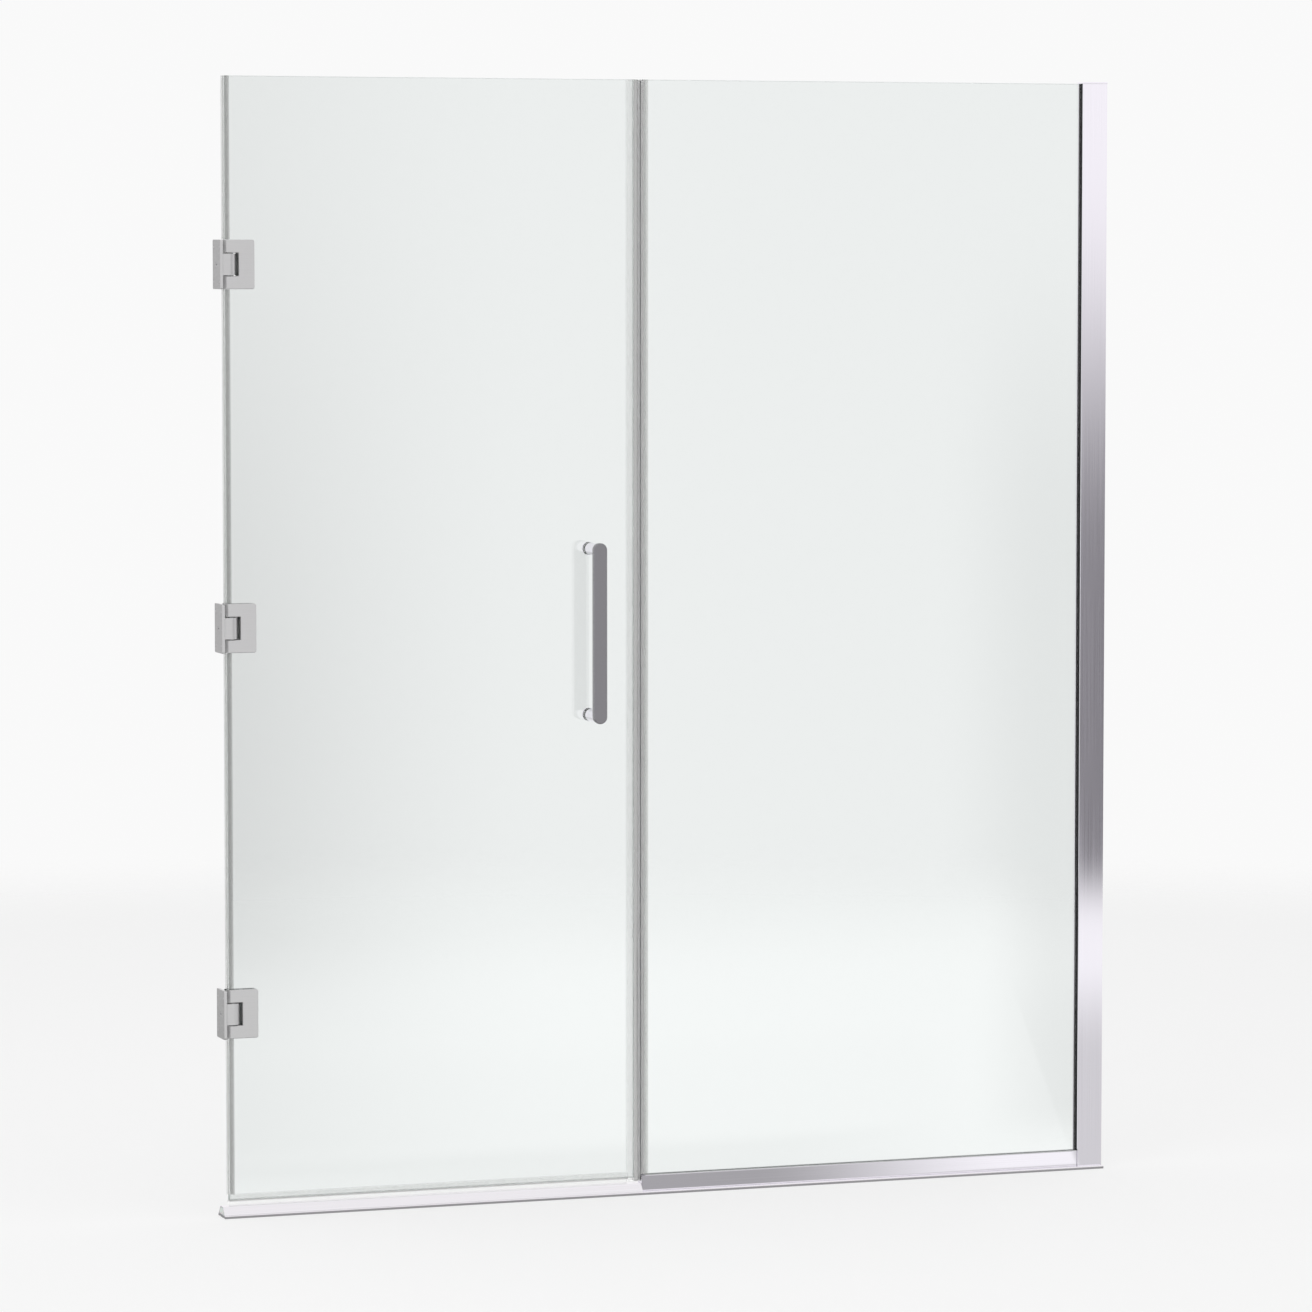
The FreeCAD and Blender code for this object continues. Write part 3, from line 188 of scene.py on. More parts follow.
class ShowerDoorSizes(bpy.types.PropertyGroup):
    """Sizes of the pieces that are made here."""

    plate_thickness: length("Plate thickness", "Hinge wall plate that the wall screws hold", 0.005)
    screw_head: length("Screw head", "Diameter of a wall screw's head", 0.0092)
    screw_shank: length("Screw shank", "Diameter of a wall screw's shank", 0.0048)
    screw_thread: length("Screw thread", "Pitch of a wall screw's thread", 0.001)
    recess_width: length("Recess width", "Width of a slot of the cross recess", 0.0011)
    recess_span: length("Recess span", "Length of a slot of the cross recess", 0.0048)
    recess_depth: length("Recess depth", "Depth of the cross recess", 0.0016)
    threshold_flat: length("Threshold flat", "Flat top of the threshold", 0.016)
    threshold_wall: length("Threshold wall", "Metal of the threshold", 0.0016)
    plug_length: length("Plug length", "How deep a plug sits in the threshold", 0.012)
    plug_fit: length("Plug fit", "Clearance of a plug in the threshold", 0.0001)
    plug_edge: length("Plug edge", "Rounding along the edges of a plug", 0.0005)
    lip_width: length("Lip width", "Clear lip of the strike seal on the door", 0.0052)
    web_height: length("Web height", "Smoky part of the sweep under the glass", 0.0016)
    glass_ease: length("Glass ease", "Hair's breadth between the glass and what touches it", 0.00006)
    profile_edge: length("Profile edge", "Rounding along the edges of the metal profiles", 0.0004)


class ShowerDoorStudio(bpy.types.PropertyGroup):
    """Floor, light and camera."""

    camera_place: FloatVectorProperty(
        name="Camera", description="Where the camera stands", default=(-3.049, -8.718, 1.554),
        subtype="TRANSLATION", unit="LENGTH", size=3,
    )
    camera_turn: angle("Camera turn", "Camera turned to the right", 19.115)
    camera_dip: angle("Camera dip", "Camera tilted down", 4.168)
    camera_lens: FloatProperty(
        name="Lens", description="Focal length in millimetres", default=155.82, min=1.0
    )
    floor_radius: length("Floor", "Radius of the round studio floor", 5.3)
    floor_fade: length("Floor fade", "Where the floor begins to fade out", 3.8)
    floor_colour: finish_colour("Floor colour", "Pale studio floor", (0.93, 0.93, 0.93))
    floor_lift: share("Floor lift", "How far the floor is lifted to the background", 0.7)
    floor_shine: share("Floor shine", "How far the floor seen through the glass is lifted to white", 0.9)
    # painted shade: how much dimmer the background seen through the glass is made behind its hinge side and
    # its jamb side
    hinge_side_painted_shade: share("Hinge side dim", "How much dimmer it is behind the glass's hinge side", 0.36)
    jamb_side_painted_shade: share("Jamb side dim", "How much dimmer it is behind the glass's jamb side", 0.14)
    background: share("Background", "Brightness of the background", 0.95)
    ambient: share("Ambient", "Even light from all round", 0.72)
    # painted reflection: the world that only bright metal mirrors, a dark band in a light ceiling
    painted_reflection_dark: finish_colour(
        "Dark horizon", "Dark end of the studio that bright metal mirrors", (0.207, 0.203, 0.213)
    )
    sky_light: finish_colour("Studio ceiling", "Light ceiling that bright metal mirrors", (1.0, 0.99, 1.0))
    top_light: watts("Top light", "Soft light overhead in watts", 50.0)
    key_light: watts("Key light", "Soft light from the front left in watts", 35.0)


def finishes():
    """The settings of the finishes."""
    return bpy.context.scene.shower_door_finishes


def sizes():
    """The sizes of the pieces that are made here."""
    return bpy.context.scene.shower_door_sizes


def studio():
    """The settings of the studio."""
    return bpy.context.scene.shower_door_studio


def radians(*degrees):
    """Angles in radians."""
    return [math.radians(value) for value in degrees]


class ShaderTree:
    """The nodes of a material or of the world, with short ways to add to them."""

    def __init__(self, owner):
        owner.use_nodes = True
        self.nodes = owner.node_tree.nodes
        self.links = owner.node_tree.links

    def add(self, kind, **settings):
        """Add a node and set its properties."""
        node = self.nodes.new(kind)
        for name, value in settings.items():
            setattr(node, name, value)
        return node

    def feed(self, socket, value):
        """Give a socket a number, a colour or the outlet of another node."""
        if isinstance(value, bpy.types.NodeSocket):
            self.links.new(value, socket)
        elif socket.type == "RGBA":
            socket.default_value = (*value, 1.0)
        else:
            socket.default_value = value

    def split(self, outlet):
        """The X, Y and Z of a texture coordinate."""
        place = self.add("ShaderNodeTexCoord")
        axes = self.add("ShaderNodeSeparateXYZ")
        self.feed(axes.inputs["Vector"], place.outputs[outlet])
        return axes.outputs

    def combine(self, operation, first, second):
        """Work out one value from two."""
        node = self.add("ShaderNodeMath", operation=operation)
        self.feed(node.inputs[0], first)
        self.feed(node.inputs[1], second)
        return node.outputs[0]

    def product(self, first, *others):
        """Multiply values."""
        for other in others:
            first = self.combine("MULTIPLY", first, other)
        return first

    def spread(self, value, start, end, low, high, shape="SMOOTHSTEP"):
        """Map a value between start and end to low and high."""
        ramp = self.add("ShaderNodeMapRange", interpolation_type=shape)
        for name, number in (("From Min", start), ("From Max", end), ("To Min", low), ("To Max", high)):
            ramp.inputs[name].default_value = number
        self.feed(ramp.inputs["Value"], value)
        return ramp.outputs["Result"]

    def inside(self, value, band):
        """One between the two middle places of a band of four, nought outside the outer two."""
        after = self.spread(value, *band[:2], 0.0, 1.0)
        before = self.spread(value, *band[2:], 1.0, 0.0)
        return self.product(after, before)

    def dimmed(self, value, band, weight, depth):
        """One, less a soft dip where a value is inside a band."""
        return self.combine("SUBTRACT", 1.0, self.product(self.inside(value, band), weight, depth))

    def blend(self, factor, first, second):
        """Mix two colours."""
        mix = self.add("ShaderNodeMix", data_type="RGBA")
        colours = [socket for socket in mix.inputs if socket.type == "RGBA"]
        self.feed(colours[0], first)
        self.feed(colours[1], second)
        self.feed(mix.inputs[0], factor)
        return next(socket for socket in mix.outputs if socket.type == "RGBA")

    def mix(self, factor, first, second):
        """Mix two shaders."""
        node = self.add("ShaderNodeMixShader")
        for socket, value in zip(node.inputs, (factor, first, second)):
            self.feed(socket, value)
        return node.outputs[0]

    def glow(self, kind, colour, strength):
        """Add an emission or a background."""
        node = self.add(kind)
        self.feed(node.inputs["Color"], colour)
        self.feed(node.inputs["Strength"], strength)
        return node.outputs[0]


class Finish(ShaderTree):
    """A procedural material round one principled shader."""

    def __init__(self, name):
        self.material = bpy.data.materials.new(name)
        super().__init__(self.material)
        self.shader = next(node for node in self.nodes if node.type == "BSDF_PRINCIPLED")

    def put(self, **values):
        """Set constant values on the shader's own sockets."""
        for name, value in values.items():
            label = name.replace("_", " ").title().replace("Ior", "IOR")
            self.feed(self.shader.inputs[label], value)

    def noise(self, stretch, detail=3.0, roughness=0.5):
        """Noise in the object's own metres; stretch gives grains per metre along X, Y and Z."""
        place = self.add("ShaderNodeTexCoord")
        mapping = self.add("ShaderNodeMapping")
        mapping.inputs["Scale"].default_value = stretch
        grain = self.add("ShaderNodeTexNoise")
        grain.inputs["Scale"].default_value = 1.0
        grain.inputs["Detail"].default_value = detail
        grain.inputs["Roughness"].default_value = roughness
        self.feed(mapping.inputs["Vector"], place.outputs["Object"])
        self.feed(grain.inputs["Vector"], mapping.outputs["Vector"])
        return grain.outputs["Fac"]

    def between(self, factor, low, high):
        """Map the middle of a noise to low and high."""
        return self.spread(factor, *NOISE_MIDDLE, low, high, shape="LINEAR")

    def facing(self, axis):
        """How far the surface faces along an axis of the object."""
        return self.split("Normal")[axis]

    def within(self, axis, start, end):
        """One between two places along an axis of the object, nought elsewhere."""
        band = (start - SPAN_BLUR, start + SPAN_BLUR, end - SPAN_BLUR, end + SPAN_BLUR)
        return self.inside(self.split("Object")[axis], band)

    def shaded(self, factor, colour, swing):
        """A colour that a factor makes a little darker or lighter."""
        dark = [channel * (1.0 - swing) for channel in colour]
        light = [min(1.0, channel * (1.0 + swing)) for channel in colour]
        return self.blend(self.between(factor, 0.0, 1.0), dark, light)

    def colour_source(self):
        """The outlet that gives the surface its colour."""
        return self.shader.inputs["Base Color"].links[0].from_socket

    def colour_from(self, outlet):
        """Let an outlet give the surface its colour."""
        self.feed(self.shader.inputs["Base Color"], outlet)

    def vary_colour(self, factor, colour, swing):
        """Let a factor make the surface a little darker or lighter."""
        self.colour_from(self.shaded(factor, colour, swing))

    def vary_roughness(self, factor, middle, swing):
        """Let a factor make the surface a little smoother or rougher."""
        self.feed(self.shader.inputs["Roughness"], self.between(factor, middle - swing, middle + swing))

    def bump(self, factor, depth):
        """Raise the surface by a depth in metres."""
        bump = self.add("ShaderNodeBump")
        bump.inputs["Strength"].default_value = 1.0
        bump.inputs["Distance"].default_value = depth
        self.feed(bump.inputs["Height"], factor)
        self.feed(self.shader.inputs["Normal"], bump.outputs["Normal"])


def dress(nodes, finish):
    """Give CAD nodes a finish."""
    for name in nodes:
        target = frame["nodes"][name]
        target.data.materials.clear()
        target.data.materials.append(finish.material)


def modify(name, label, kind, **settings):
    """Give a CAD node a modifier."""
    modifier = frame["nodes"][name].modifiers.new(label, kind)
    for setting, value in settings.items():
        setattr(modifier, setting, value)


def soften(nodes, width):
    """Round the sharp edges of CAD nodes a little."""
    for name in nodes:
        modify(name, "weld", "WELD", merge_threshold=WELD_DISTANCE)
        modify(name, "whole", "DECIMATE", decimate_type="DISSOLVE", angle_limit=FLAT_ANGLE)
        modify(name, "edge", "BEVEL", width=width, segments=2, limit_method="ANGLE",
               angle_limit=ROUND_ANGLE, harden_normals=True)


def ease(nodes, gap):
    """Draw the faces of CAD nodes in by a hair's breadth, so that no two clear faces coincide."""
    for name in nodes:
        modify(name, "weld", "WELD", merge_threshold=WELD_DISTANCE)
        modify(name, "ease", "DISPLACE", direction="NORMAL", mid_level=0.0, strength=-gap)
        modify(name, "flat", "EDGE_SPLIT", split_angle=SPLIT_ANGLE)


def hinge_nodes(*pieces):
    """Names of pieces that each of the three hinges has."""
    return ["%s_hinge_%s" % (hinge, piece) for hinge in HINGES for piece in pieces]


def clear_glass():
    """Clear toughened glass with an easy-clean coating; ground edges are frosted, the faces hardly wavy."""
    finish = Finish("clear_toughened_glass")
    finish.put(ior=1.52, transmission_weight=1.0, coat_weight=1.0, coat_roughness=0.0, coat_ior=1.6)
    level = finish.combine("ABSOLUTE", finish.facing("Y"), 0.0)
    finish.colour_from(finish.blend(level, finishes().glass_edge, finishes().glass_tint))
    frost = finish.spread(level, *GROUND_EDGE, finishes().edge_roughness, 0.0)
    finish.feed(finish.shader.inputs["Roughness"], frost)
    finish.bump(finish.noise(GLASS_WAVES, detail=1.0), depth=0.00002)
    return finish


def brushed_metal(name, colour, roughness, stretch, depth, swing=0.06):
    """Metal with fine grain drawn out along its length."""
    finish = Finish(name)
    finish.put(metallic=1.0)
    grain = finish.noise(stretch, detail=4.0, roughness=0.6)
    finish.vary_colour(grain, colour, swing=0.035)
    finish.vary_roughness(grain, roughness, swing)
    finish.bump(grain, depth)
    return finish


def hinge_plate_metal(colour, back, roughness):
    """Satin metal whose wall side is left as cast."""
    finish = brushed_metal("satin_hinge_plate", colour, roughness, HINGE_GRAIN, HINGE_GRAIN_DEPTH)
    satin = finish.colour_source()
    cast = finish.shaded(finish.noise(CAST_GRAIN, detail=4.0, roughness=0.6), back, swing=0.22)
    behind = finish.spread(finish.facing("X"), *CAST_SIDE, 1.0, 0.0)
    finish.colour_from(finish.blend(behind, satin, cast))
    return finish


def plated_metal(name, colour, roughness):
    """Bright plating with hardly any grain."""
    finish = Finish(name)
    finish.put(metallic=1.0)
    haze = finish.noise(PLATING_HAZE, detail=4.0)
    finish.vary_roughness(haze, roughness, swing=roughness * 0.35)
    finish.vary_colour(haze, colour, swing=0.012)
    return finish


def clear_vinyl(name, stretch, *spans):
    """Clear extruded vinyl with lines along its length; a span is a tint, an axis and two places on it."""
    finish = Finish(name)
    finish.put(ior=1.2, transmission_weight=0.9)
    lines = finish.noise(stretch, detail=2.0)
    shade = finish.shaded(lines, finishes().clear_seal, swing=0.05)
    for tint, axis, start, end in spans:
        tinted = finish.shaded(lines, tint, swing=0.05)
        shade = finish.blend(finish.within(axis, start, end), shade, tinted)
    finish.colour_from(shade)
    finish.vary_roughness(lines, finishes().seal_roughness, swing=0.03)
    finish.bump(lines, depth=0.000005)
    return finish


def matt_rubber(name, colour):
    """Matt rubber or magnet strip with a fine crumb."""
    finish = Finish(name)
    crumb = finish.noise(RUBBER_CRUMB, detail=2.0)
    finish.vary_colour(crumb, colour, swing=0.15)
    finish.vary_roughness(crumb, middle=0.55, swing=0.1)
    finish.bump(crumb, depth=0.00003)
    return finish


def pull_washer():
    """Black rubber in front of the glass, pale nylon behind it."""
    finish = matt_rubber("pull_washer", finishes().black_gasket)
    rubber = finish.colour_source()
    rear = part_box("handle_washers")[1][1]
    behind = finish.within("Y", 0.0, rear + SPAN_BLUR * 2.0)
    pale = finish.shaded(finish.noise(WASHER_CLOUD), finishes().nylon, swing=0.05)
    finish.colour_from(finish.blend(behind, rubber, pale))
    return finish


def moulded_nylon(name, colour):
    """Pale moulded nylon, a little cloudy."""
    finish = Finish(name)
    finish.put(ior=1.53, subsurface_weight=0.15)
    cloud = finish.noise(NYLON_CLOUD)
    finish.vary_colour(cloud, colour, swing=0.03)
    finish.vary_roughness(cloud, middle=0.42, swing=0.06)
    return finish


def turned_steel():
    """Machined steel with fine marks."""
    finish = Finish("turned_steel")
    finish.put(metallic=1.0)
    rings = finish.noise(STEEL_RINGS, detail=2.0)
    finish.vary_colour(rings, finishes().steel, swing=0.06)
    finish.vary_roughness(rings, middle=0.3, swing=0.06)
    finish.bump(rings, depth=0.00001)
    return finish


class ShowerStep(bpy.types.Operator):
    """Shared ground of the steps."""

    bl_options = {"REGISTER", "UNDO"}


class SHOWER_OT_glass(ShowerStep):
    """Finish the door glass and the fixed glass panel"""

    bl_idname = "shower.glass"
    bl_label = "Glass"

    def execute(self, context):
        panes = ("door_glass", "fixed_glass_panel")
        dress(panes, clear_glass())
        ease(panes, sizes().glass_ease)
        return {"FINISHED"}


class SHOWER_OT_hinges(ShowerStep):
    """Finish the three hinges and what is inside them"""

    bl_idname = "shower.hinges"
    bl_label = "Hinges"

    def execute(self, context):
        look = finishes()
        clamp_metal = brushed_metal(
            "satin_hinge_metal", look.hinge_metal, look.hinge_roughness, HINGE_GRAIN, HINGE_GRAIN_DEPTH
        )
        plate_metal = hinge_plate_metal(look.hinge_metal, look.plate_back, look.hinge_roughness)
        turned = ("pivot_pin", "clamp_screws", "detent_spring", "spring_plug", "detent_plunger")
        dress(hinge_nodes("front_clamp", "rear_clamp"), clamp_metal)
        dress(hinge_nodes("wall_plate"), plate_metal)
        dress(hinge_nodes(*turned), turned_steel())
        dress(hinge_nodes("bushes"), moulded_nylon("bearing_nylon", look.nylon))
        dress(hinge_nodes("front_gasket", "rear_gasket"), matt_rubber("clamp_gasket", look.clamp_gasket))
        return {"FINISHED"}


def lathe(mesh, profile, segments):
    """Turn a profile of (radius, height) pairs round the Z axis."""
    turns = [2.0 * math.pi * step / segments for step in range(segments)]
    rings = []
    for radius, height in profile:
        around = turns if radius else [0.0]
        spots = [(radius * math.cos(turn), radius * math.sin(turn), height) for turn in around]
        rings.append([mesh.verts.new(spot) for spot in spots])
    for lower, upper in zip(rings, rings[1:]):
        for step in range(segments):
            following = (step + 1) % segments
            corners = [lower[step % len(lower)], lower[following % len(lower)],
                       upper[following % len(upper)], upper[step % len(upper)]]
            mesh.faces.new(list(dict.fromkeys(corners)))


def cross_cutter(span, width, depth):
    """A cross-shaped wedge that cuts the recess of a screw head."""
    cutter = bpy.data.meshes.new("cross_cutter")
    shape = bmesh.new()
    half, arm = width / 2.0, span / 2.0
    outline = [(arm, -half), (arm, half), (half, half), (half, arm), (-half, arm), (-half, half),
               (-arm, half), (-arm, -half), (-half, -half), (-half, -arm), (half, -arm), (half, -half)]
    low = [shape.verts.new((x * RECESS_TAPER, y * RECESS_TAPER, -depth)) for x, y in outline]
    high = [shape.verts.new((x, y, depth)) for x, y in outline]
    shape.faces.new(list(reversed(low)))
    shape.faces.new(high)
    for step in range(len(outline)):
        following = (step + 1) % len(outline)
        shape.faces.new((low[step], low[following], high[following], high[step]))
    bmesh.ops.recalc_face_normals(shape, faces=shape.faces)
    shape.to_mesh(cutter)
    shape.free()
    return cutter


def wall_screw_blank():
    """A countersunk screw without its recess, head up along Z with its top at zero, cut off at the wall."""
    made = sizes()
    head, shank = made.screw_head / 2.0, made.screw_shank / 2.0
    dome = ((0.0, 0.0), (head * 0.5, 0.00002), (head - 2.0 * SCREW_RIM, 0.00008),
            (head - SCREW_RIM * 0.4, 0.0002), (head, SCREW_RIM))
    profile = [(radius, -SCREW_SUNK - drop) for radius, drop in dome]
    neck = -SCREW_SUNK - SCREW_RIM - (head - shank)
    profile.append((shank, neck))
    end = -made.plate_thickness + SCREW_END_GAP
    turns = max(1, int((neck - end) / made.screw_thread * 2))
    for step in range(1, turns):
        radius = shank if step % 2 == 0 else shank - THREAD_DEPTH
        profile.append((radius, neck + (end - neck) * step / turns))
    profile += [(shank - SHANK_END_ROUNDING, end), (0.0, end)]
    blank = bpy.data.meshes.new("wall_screw_blank")
    shape = bmesh.new()
    lathe(shape, profile, SCREW_SEGMENTS)
    bmesh.ops.recalc_face_normals(shape, faces=shape.faces)
    shape.to_mesh(blank)
    shape.free()
    return blank


def wall_screw_mesh():
    """A countersunk screw with its cross recess cut."""
    made = sizes()
    blank = wall_screw_blank()
    cross = cross_cutter(made.recess_span, made.recess_width, made.recess_depth)
    screw = bpy.data.objects.new("wall_screw_blank", blank)
    cutter = bpy.data.objects.new("cross_cutter", cross)
    for item in (screw, cutter):
        bpy.context.scene.collection.objects.link(item)
    recess = screw.modifiers.new("recess", "BOOLEAN")
    recess.operation = "DIFFERENCE"
    recess.object = cutter
    recess.solver = "EXACT"
    evaluated = screw.evaluated_get(bpy.context.evaluated_depsgraph_get())
    mesh = bpy.data.meshes.new_from_object(evaluated)
    mesh.name = "wall_screw"
    for item in (screw, cutter):
        bpy.data.objects.remove(item)
    if len(mesh.polygons) <= len(blank.polygons):
        raise RuntimeError("the cross recess of the wall screws was not cut")
    mesh.shade_smooth()
    mesh.set_sharp_from_angle(angle=SCREW_SHARP_ANGLE)
    return mesh


class SHOWER_OT_wall_screws(ShowerStep):
    """Make the countersunk screws that hold the hinge plates to the wall"""

    bl_idname = "shower.wall_screws"
    bl_label = "Wall screws"

    def execute(self, context):
        pattern = wall_screw_mesh()
        pattern.materials.append(turned_steel().material)
        meshes = []
        for turn in WALL_SCREW_TURNS:
            mesh = pattern.copy()
            mesh.transform(Matrix.Rotation(math.radians(turn), 4, "Z"))
            meshes.append(mesh)
        upright = Matrix.Rotation(math.radians(90), 4, "Y")
        corners = ((-1, -1), (-1, 1), (1, -1), (1, 1))
        for hinge in HINGES:
            name = "%s_hinge_wall_screws" % hinge
            mount = next(item for item in frame["record"]["mounts"] if item["name"] == name)
            reach = [mount["dims"][spacing] / 2000.0 for spacing in ("spacing_x_mm", "spacing_y_mm")]
            face = Vector(mount["pos_m"]) + Vector((sizes().plate_thickness, 0.0, 0.0))
            for number, ((side, rise), mesh) in enumerate(zip(corners, meshes), start=1):
                screw = bpy.data.objects.new("%s_hinge_wall_screw_%d" % (hinge, number), mesh)
                context.scene.collection.objects.link(screw)
                spot = face + Vector((0.0, side * reach[0], rise * reach[1]))
                screw.matrix_world = Matrix.Translation(spot) @ upright
                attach(screw, "frame")
        return {"FINISHED"}


class SHOWER_OT_pull(ShowerStep):
    """Finish the pull bar with its posts, washers, bushes and screws"""

    bl_idname = "shower.pull"
    bl_label = "Pull"

    def execute(self, context):
        look = finishes()
        bar_metal = brushed_metal(
            "brushed_pull_metal", look.pull_metal, look.pull_roughness, PULL_GRAIN, depth=0.000003
        )
        dress(("handle_bar",), bar_metal)
        post_metal = plated_metal("pull_chrome", look.chrome, look.chrome_roughness)
        dress(("handle_posts", "handle_cap_screws"), post_metal)
        dress(("handle_washers",), pull_washer())
        dress(("handle_hole_bushes",), moulded_nylon("sleeve_nylon", look.nylon))
        return {"FINISHED"}


def plug_mesh(name, outline, start, end):
    """A block with rounded edges over an outline of (across, level) pairs, between two places along X."""
    mesh = bpy.data.meshes.new(name)
    shape = bmesh.new()
    near = [shape.verts.new((start, across, level)) for across, level in outline]
    deep = [shape.verts.new((end, across, level)) for across, level in outline]
    shape.faces.new(near)
    shape.faces.new(list(reversed(deep)))
    for step in range(len(outline)):
        following = (step + 1) % len(outline)
        shape.faces.new((near[step], deep[step], deep[following], near[following]))
    bmesh.ops.recalc_face_normals(shape, faces=shape.faces)
    bmesh.ops.bevel(shape, geom=list(shape.edges), offset=sizes().plug_edge, segments=3, affect="EDGES")
    shape.to_mesh(mesh)
    shape.free()
    mesh.shade_smooth()
    mesh.set_sharp_from_angle(angle=PLUG_SHARP_ANGLE)
    return mesh


def threshold_plugs():
    """Moulded plugs that close the threshold's hollow ends, at the hinge wall and at the panel channel."""
    made = sizes()
    low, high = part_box("door_threshold")
    half_foot, half_flat = (high[1] - low[1]) / 2.0, made.threshold_flat / 2.0
    lean = (half_foot - half_flat) / (high[2] - low[2])
    inset = (made.threshold_wall + made.plug_fit) * math.hypot(1.0, lean)
    bottom, top = low[2] + made.plug_fit, high[2] - made.threshold_wall - made.plug_fit
    middle = (low[1] + high[1]) / 2.0
    bottom_half = half_foot - (bottom - low[2]) * lean - inset
    top_half = half_foot - (top - low[2]) * lean - inset
    outline = [(middle - bottom_half, bottom), (middle + bottom_half, bottom), (middle + top_half, top),
               (middle - top_half, top)]
    finish = moulded_nylon("plug_nylon", finishes().nylon)
    ends = (("threshold_end_plug", low[0], 1.0), ("threshold_channel_plug", high[0], -1.0))
    for name, mouth, inwards in ends:
        start, end = mouth + inwards * made.plug_fit, mouth + inwards * made.plug_length
        mesh = plug_mesh(name, outline, start, end)
        mesh.materials.append(finish.material)
        plug = bpy.data.objects.new(name, mesh)
        bpy.context.scene.collection.objects.link(plug)
        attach(plug, "frame")


class SHOWER_OT_profiles(ShowerStep):
    """Finish the sill, threshold, panel channel and wall jamb, and make the threshold's plugs"""

    bl_idname = "shower.profiles"
    bl_label = "Profiles"

    def execute(self, context):
        look = finishes()
        sill, channel = ("sill_track", "door_threshold"), ("panel_channel", "panel_channel_end_cap")
        jamb = ("wall_jamb_cover", "wall_jamb_top_cap")
        dress(sill, brushed_metal(
            "bright_sill_aluminium", look.aluminium, look.aluminium_roughness, LEVEL_GRAIN,
            depth=0.000002, swing=0.04))
        dress(channel, brushed_metal(
            "bright_channel_plating", look.chrome, look.chrome_roughness, LEVEL_GRAIN,
            depth=0.0000015, swing=0.02))
        dress(jamb, brushed_metal(
            "bright_jamb_plating", look.chrome, look.chrome_roughness, UPRIGHT_GRAIN,
            depth=0.0000015, swing=0.02))
        dress(("wall_jamb_channel",), brushed_metal(
            "mill_jamb_aluminium", look.aluminium, 0.34, UPRIGHT_GRAIN, depth=0.000004))
        dress(("wall_jamb_set_screws",), turned_steel())
        threshold_plugs()
        soften((*sill, *channel, *jamb), sizes().profile_edge)
        return {"FINISHED"}


class SHOWER_OT_seals(ShowerStep):
    """Finish the clear seals, magnet strips, gaskets and setting blocks"""

    bl_idname = "shower.seals"
    bl_label = "Seals"

    def execute(self, context):
        look = finishes()
        (hinge_edge, _, door_foot), (door_edge, _, _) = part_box("door_glass")
        panel_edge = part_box("fixed_glass_panel")[0][0]
        door_lip, panel_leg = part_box("door_strike_seal")[0][0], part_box("panel_strike_seal")[1][0]
        dress(("door_strike_seal",), clear_vinyl(
            "door_strike_vinyl", UPRIGHT_LINES,
            (look.seal_lip, "X", door_lip - SPAN_BLUR, door_lip + sizes().lip_width),
            (look.seal_web, "X", door_edge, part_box("door_magnet_strip")[0][0])))
        dress(("panel_strike_seal",), clear_vinyl(
            "panel_strike_vinyl", UPRIGHT_LINES,
            (look.seal_web, "X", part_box("panel_magnet_strip")[1][0], panel_edge),
            (look.seal_leg, "X", panel_edge, panel_leg + SPAN_BLUR)))
        dress(("door_sweep",), clear_vinyl(
            "sweep_vinyl", LEVEL_LINES, (look.sweep_web, "Z", door_foot - sizes().web_height, door_foot)))
        dress(("hinge_side_seals",), clear_vinyl(
            "side_vinyl", UPRIGHT_LINES, (look.side_seal, "X", hinge_edge, door_edge)))
        dress(("door_magnet_strip", "panel_magnet_strip"), matt_rubber("magnet_strip", look.magnet))
        dress(("panel_channel_gasket_front", "panel_channel_gasket_rear"),
              matt_rubber("channel_gasket", look.channel_gasket))
        dress(("wall_jamb_gasket_front", "wall_jamb_gasket_rear"),
              matt_rubber("jamb_gasket", look.black_gasket))
        dress(("panel_setting_blocks",), moulded_nylon("block_nylon", look.nylon))
        return {"FINISHED"}


def floor_painted_behind_glass(tree):
    """The floor as it shows through the glass: painted light close to the door, painted shade towards either
    side.
    """
    place = tree.split("Object")
    behind = tree.spread(place["Y"], *BEHIND_DOOR)
    side = tree.combine("SUBTRACT", place["X"], tree.product(place["Y"], HINGE_SIDE_SLANT))
    weight = tree.product(tree.spread(place["Y"], *HINGE_SIDE_WEIGHT), behind)
    hinge_side = tree.dimmed(side, HINGE_SIDE_BAND, weight, studio().hinge_side_painted_shade)
    side = tree.combine("SUBTRACT", place["X"], tree.product(place["Y"], JAMB_SIDE_SLANT))
    jamb_side = tree.dimmed(side, JAMB_SIDE_BAND, behind, studio().jamb_side_painted_shade)
    return tree.product(hinge_side, jamb_side, tree.spread(place["Y"], *CLOSE_PAINTED_LIGHT))


def painted_floor_reflection(tree):
    """Painted reflection: the glowing tones that bright metal mirrors from the floor, darker close to the
    sill and towards the hinge side.
    """
    place = tree.split("Object")
    ahead = tree.combine("ABSOLUTE", place["Y"], 0.0)
    side = tree.combine("SUBTRACT", place["X"], tree.product(ahead, MIRROR_SLANT))
    side = tree.combine("MAXIMUM", side, tree.spread(place["Y"], *MIRROR_REAR))
    across = tree.product(tree.spread(side, *MIRROR_ACROSS), tree.spread(side, *MIRROR_BESIDE))
    far = tree.product(tree.spread(ahead, *MIRROR_FAR), tree.spread(side, *MIRROR_FAR_BESIDE))
    tone = tree.combine("MAXIMUM", across, far)
    tone = tree.combine("ADD", tone, tree.spread(ahead, *MIRROR_BRIGHT))
    tone = tree.combine("MINIMUM", tone, tree.spread(ahead, *MIRROR_NEAR))
    tone = tree.combine("MINIMUM", tone, 1.0)
    return tree.glow("ShaderNodeEmission", WHITE, tone)


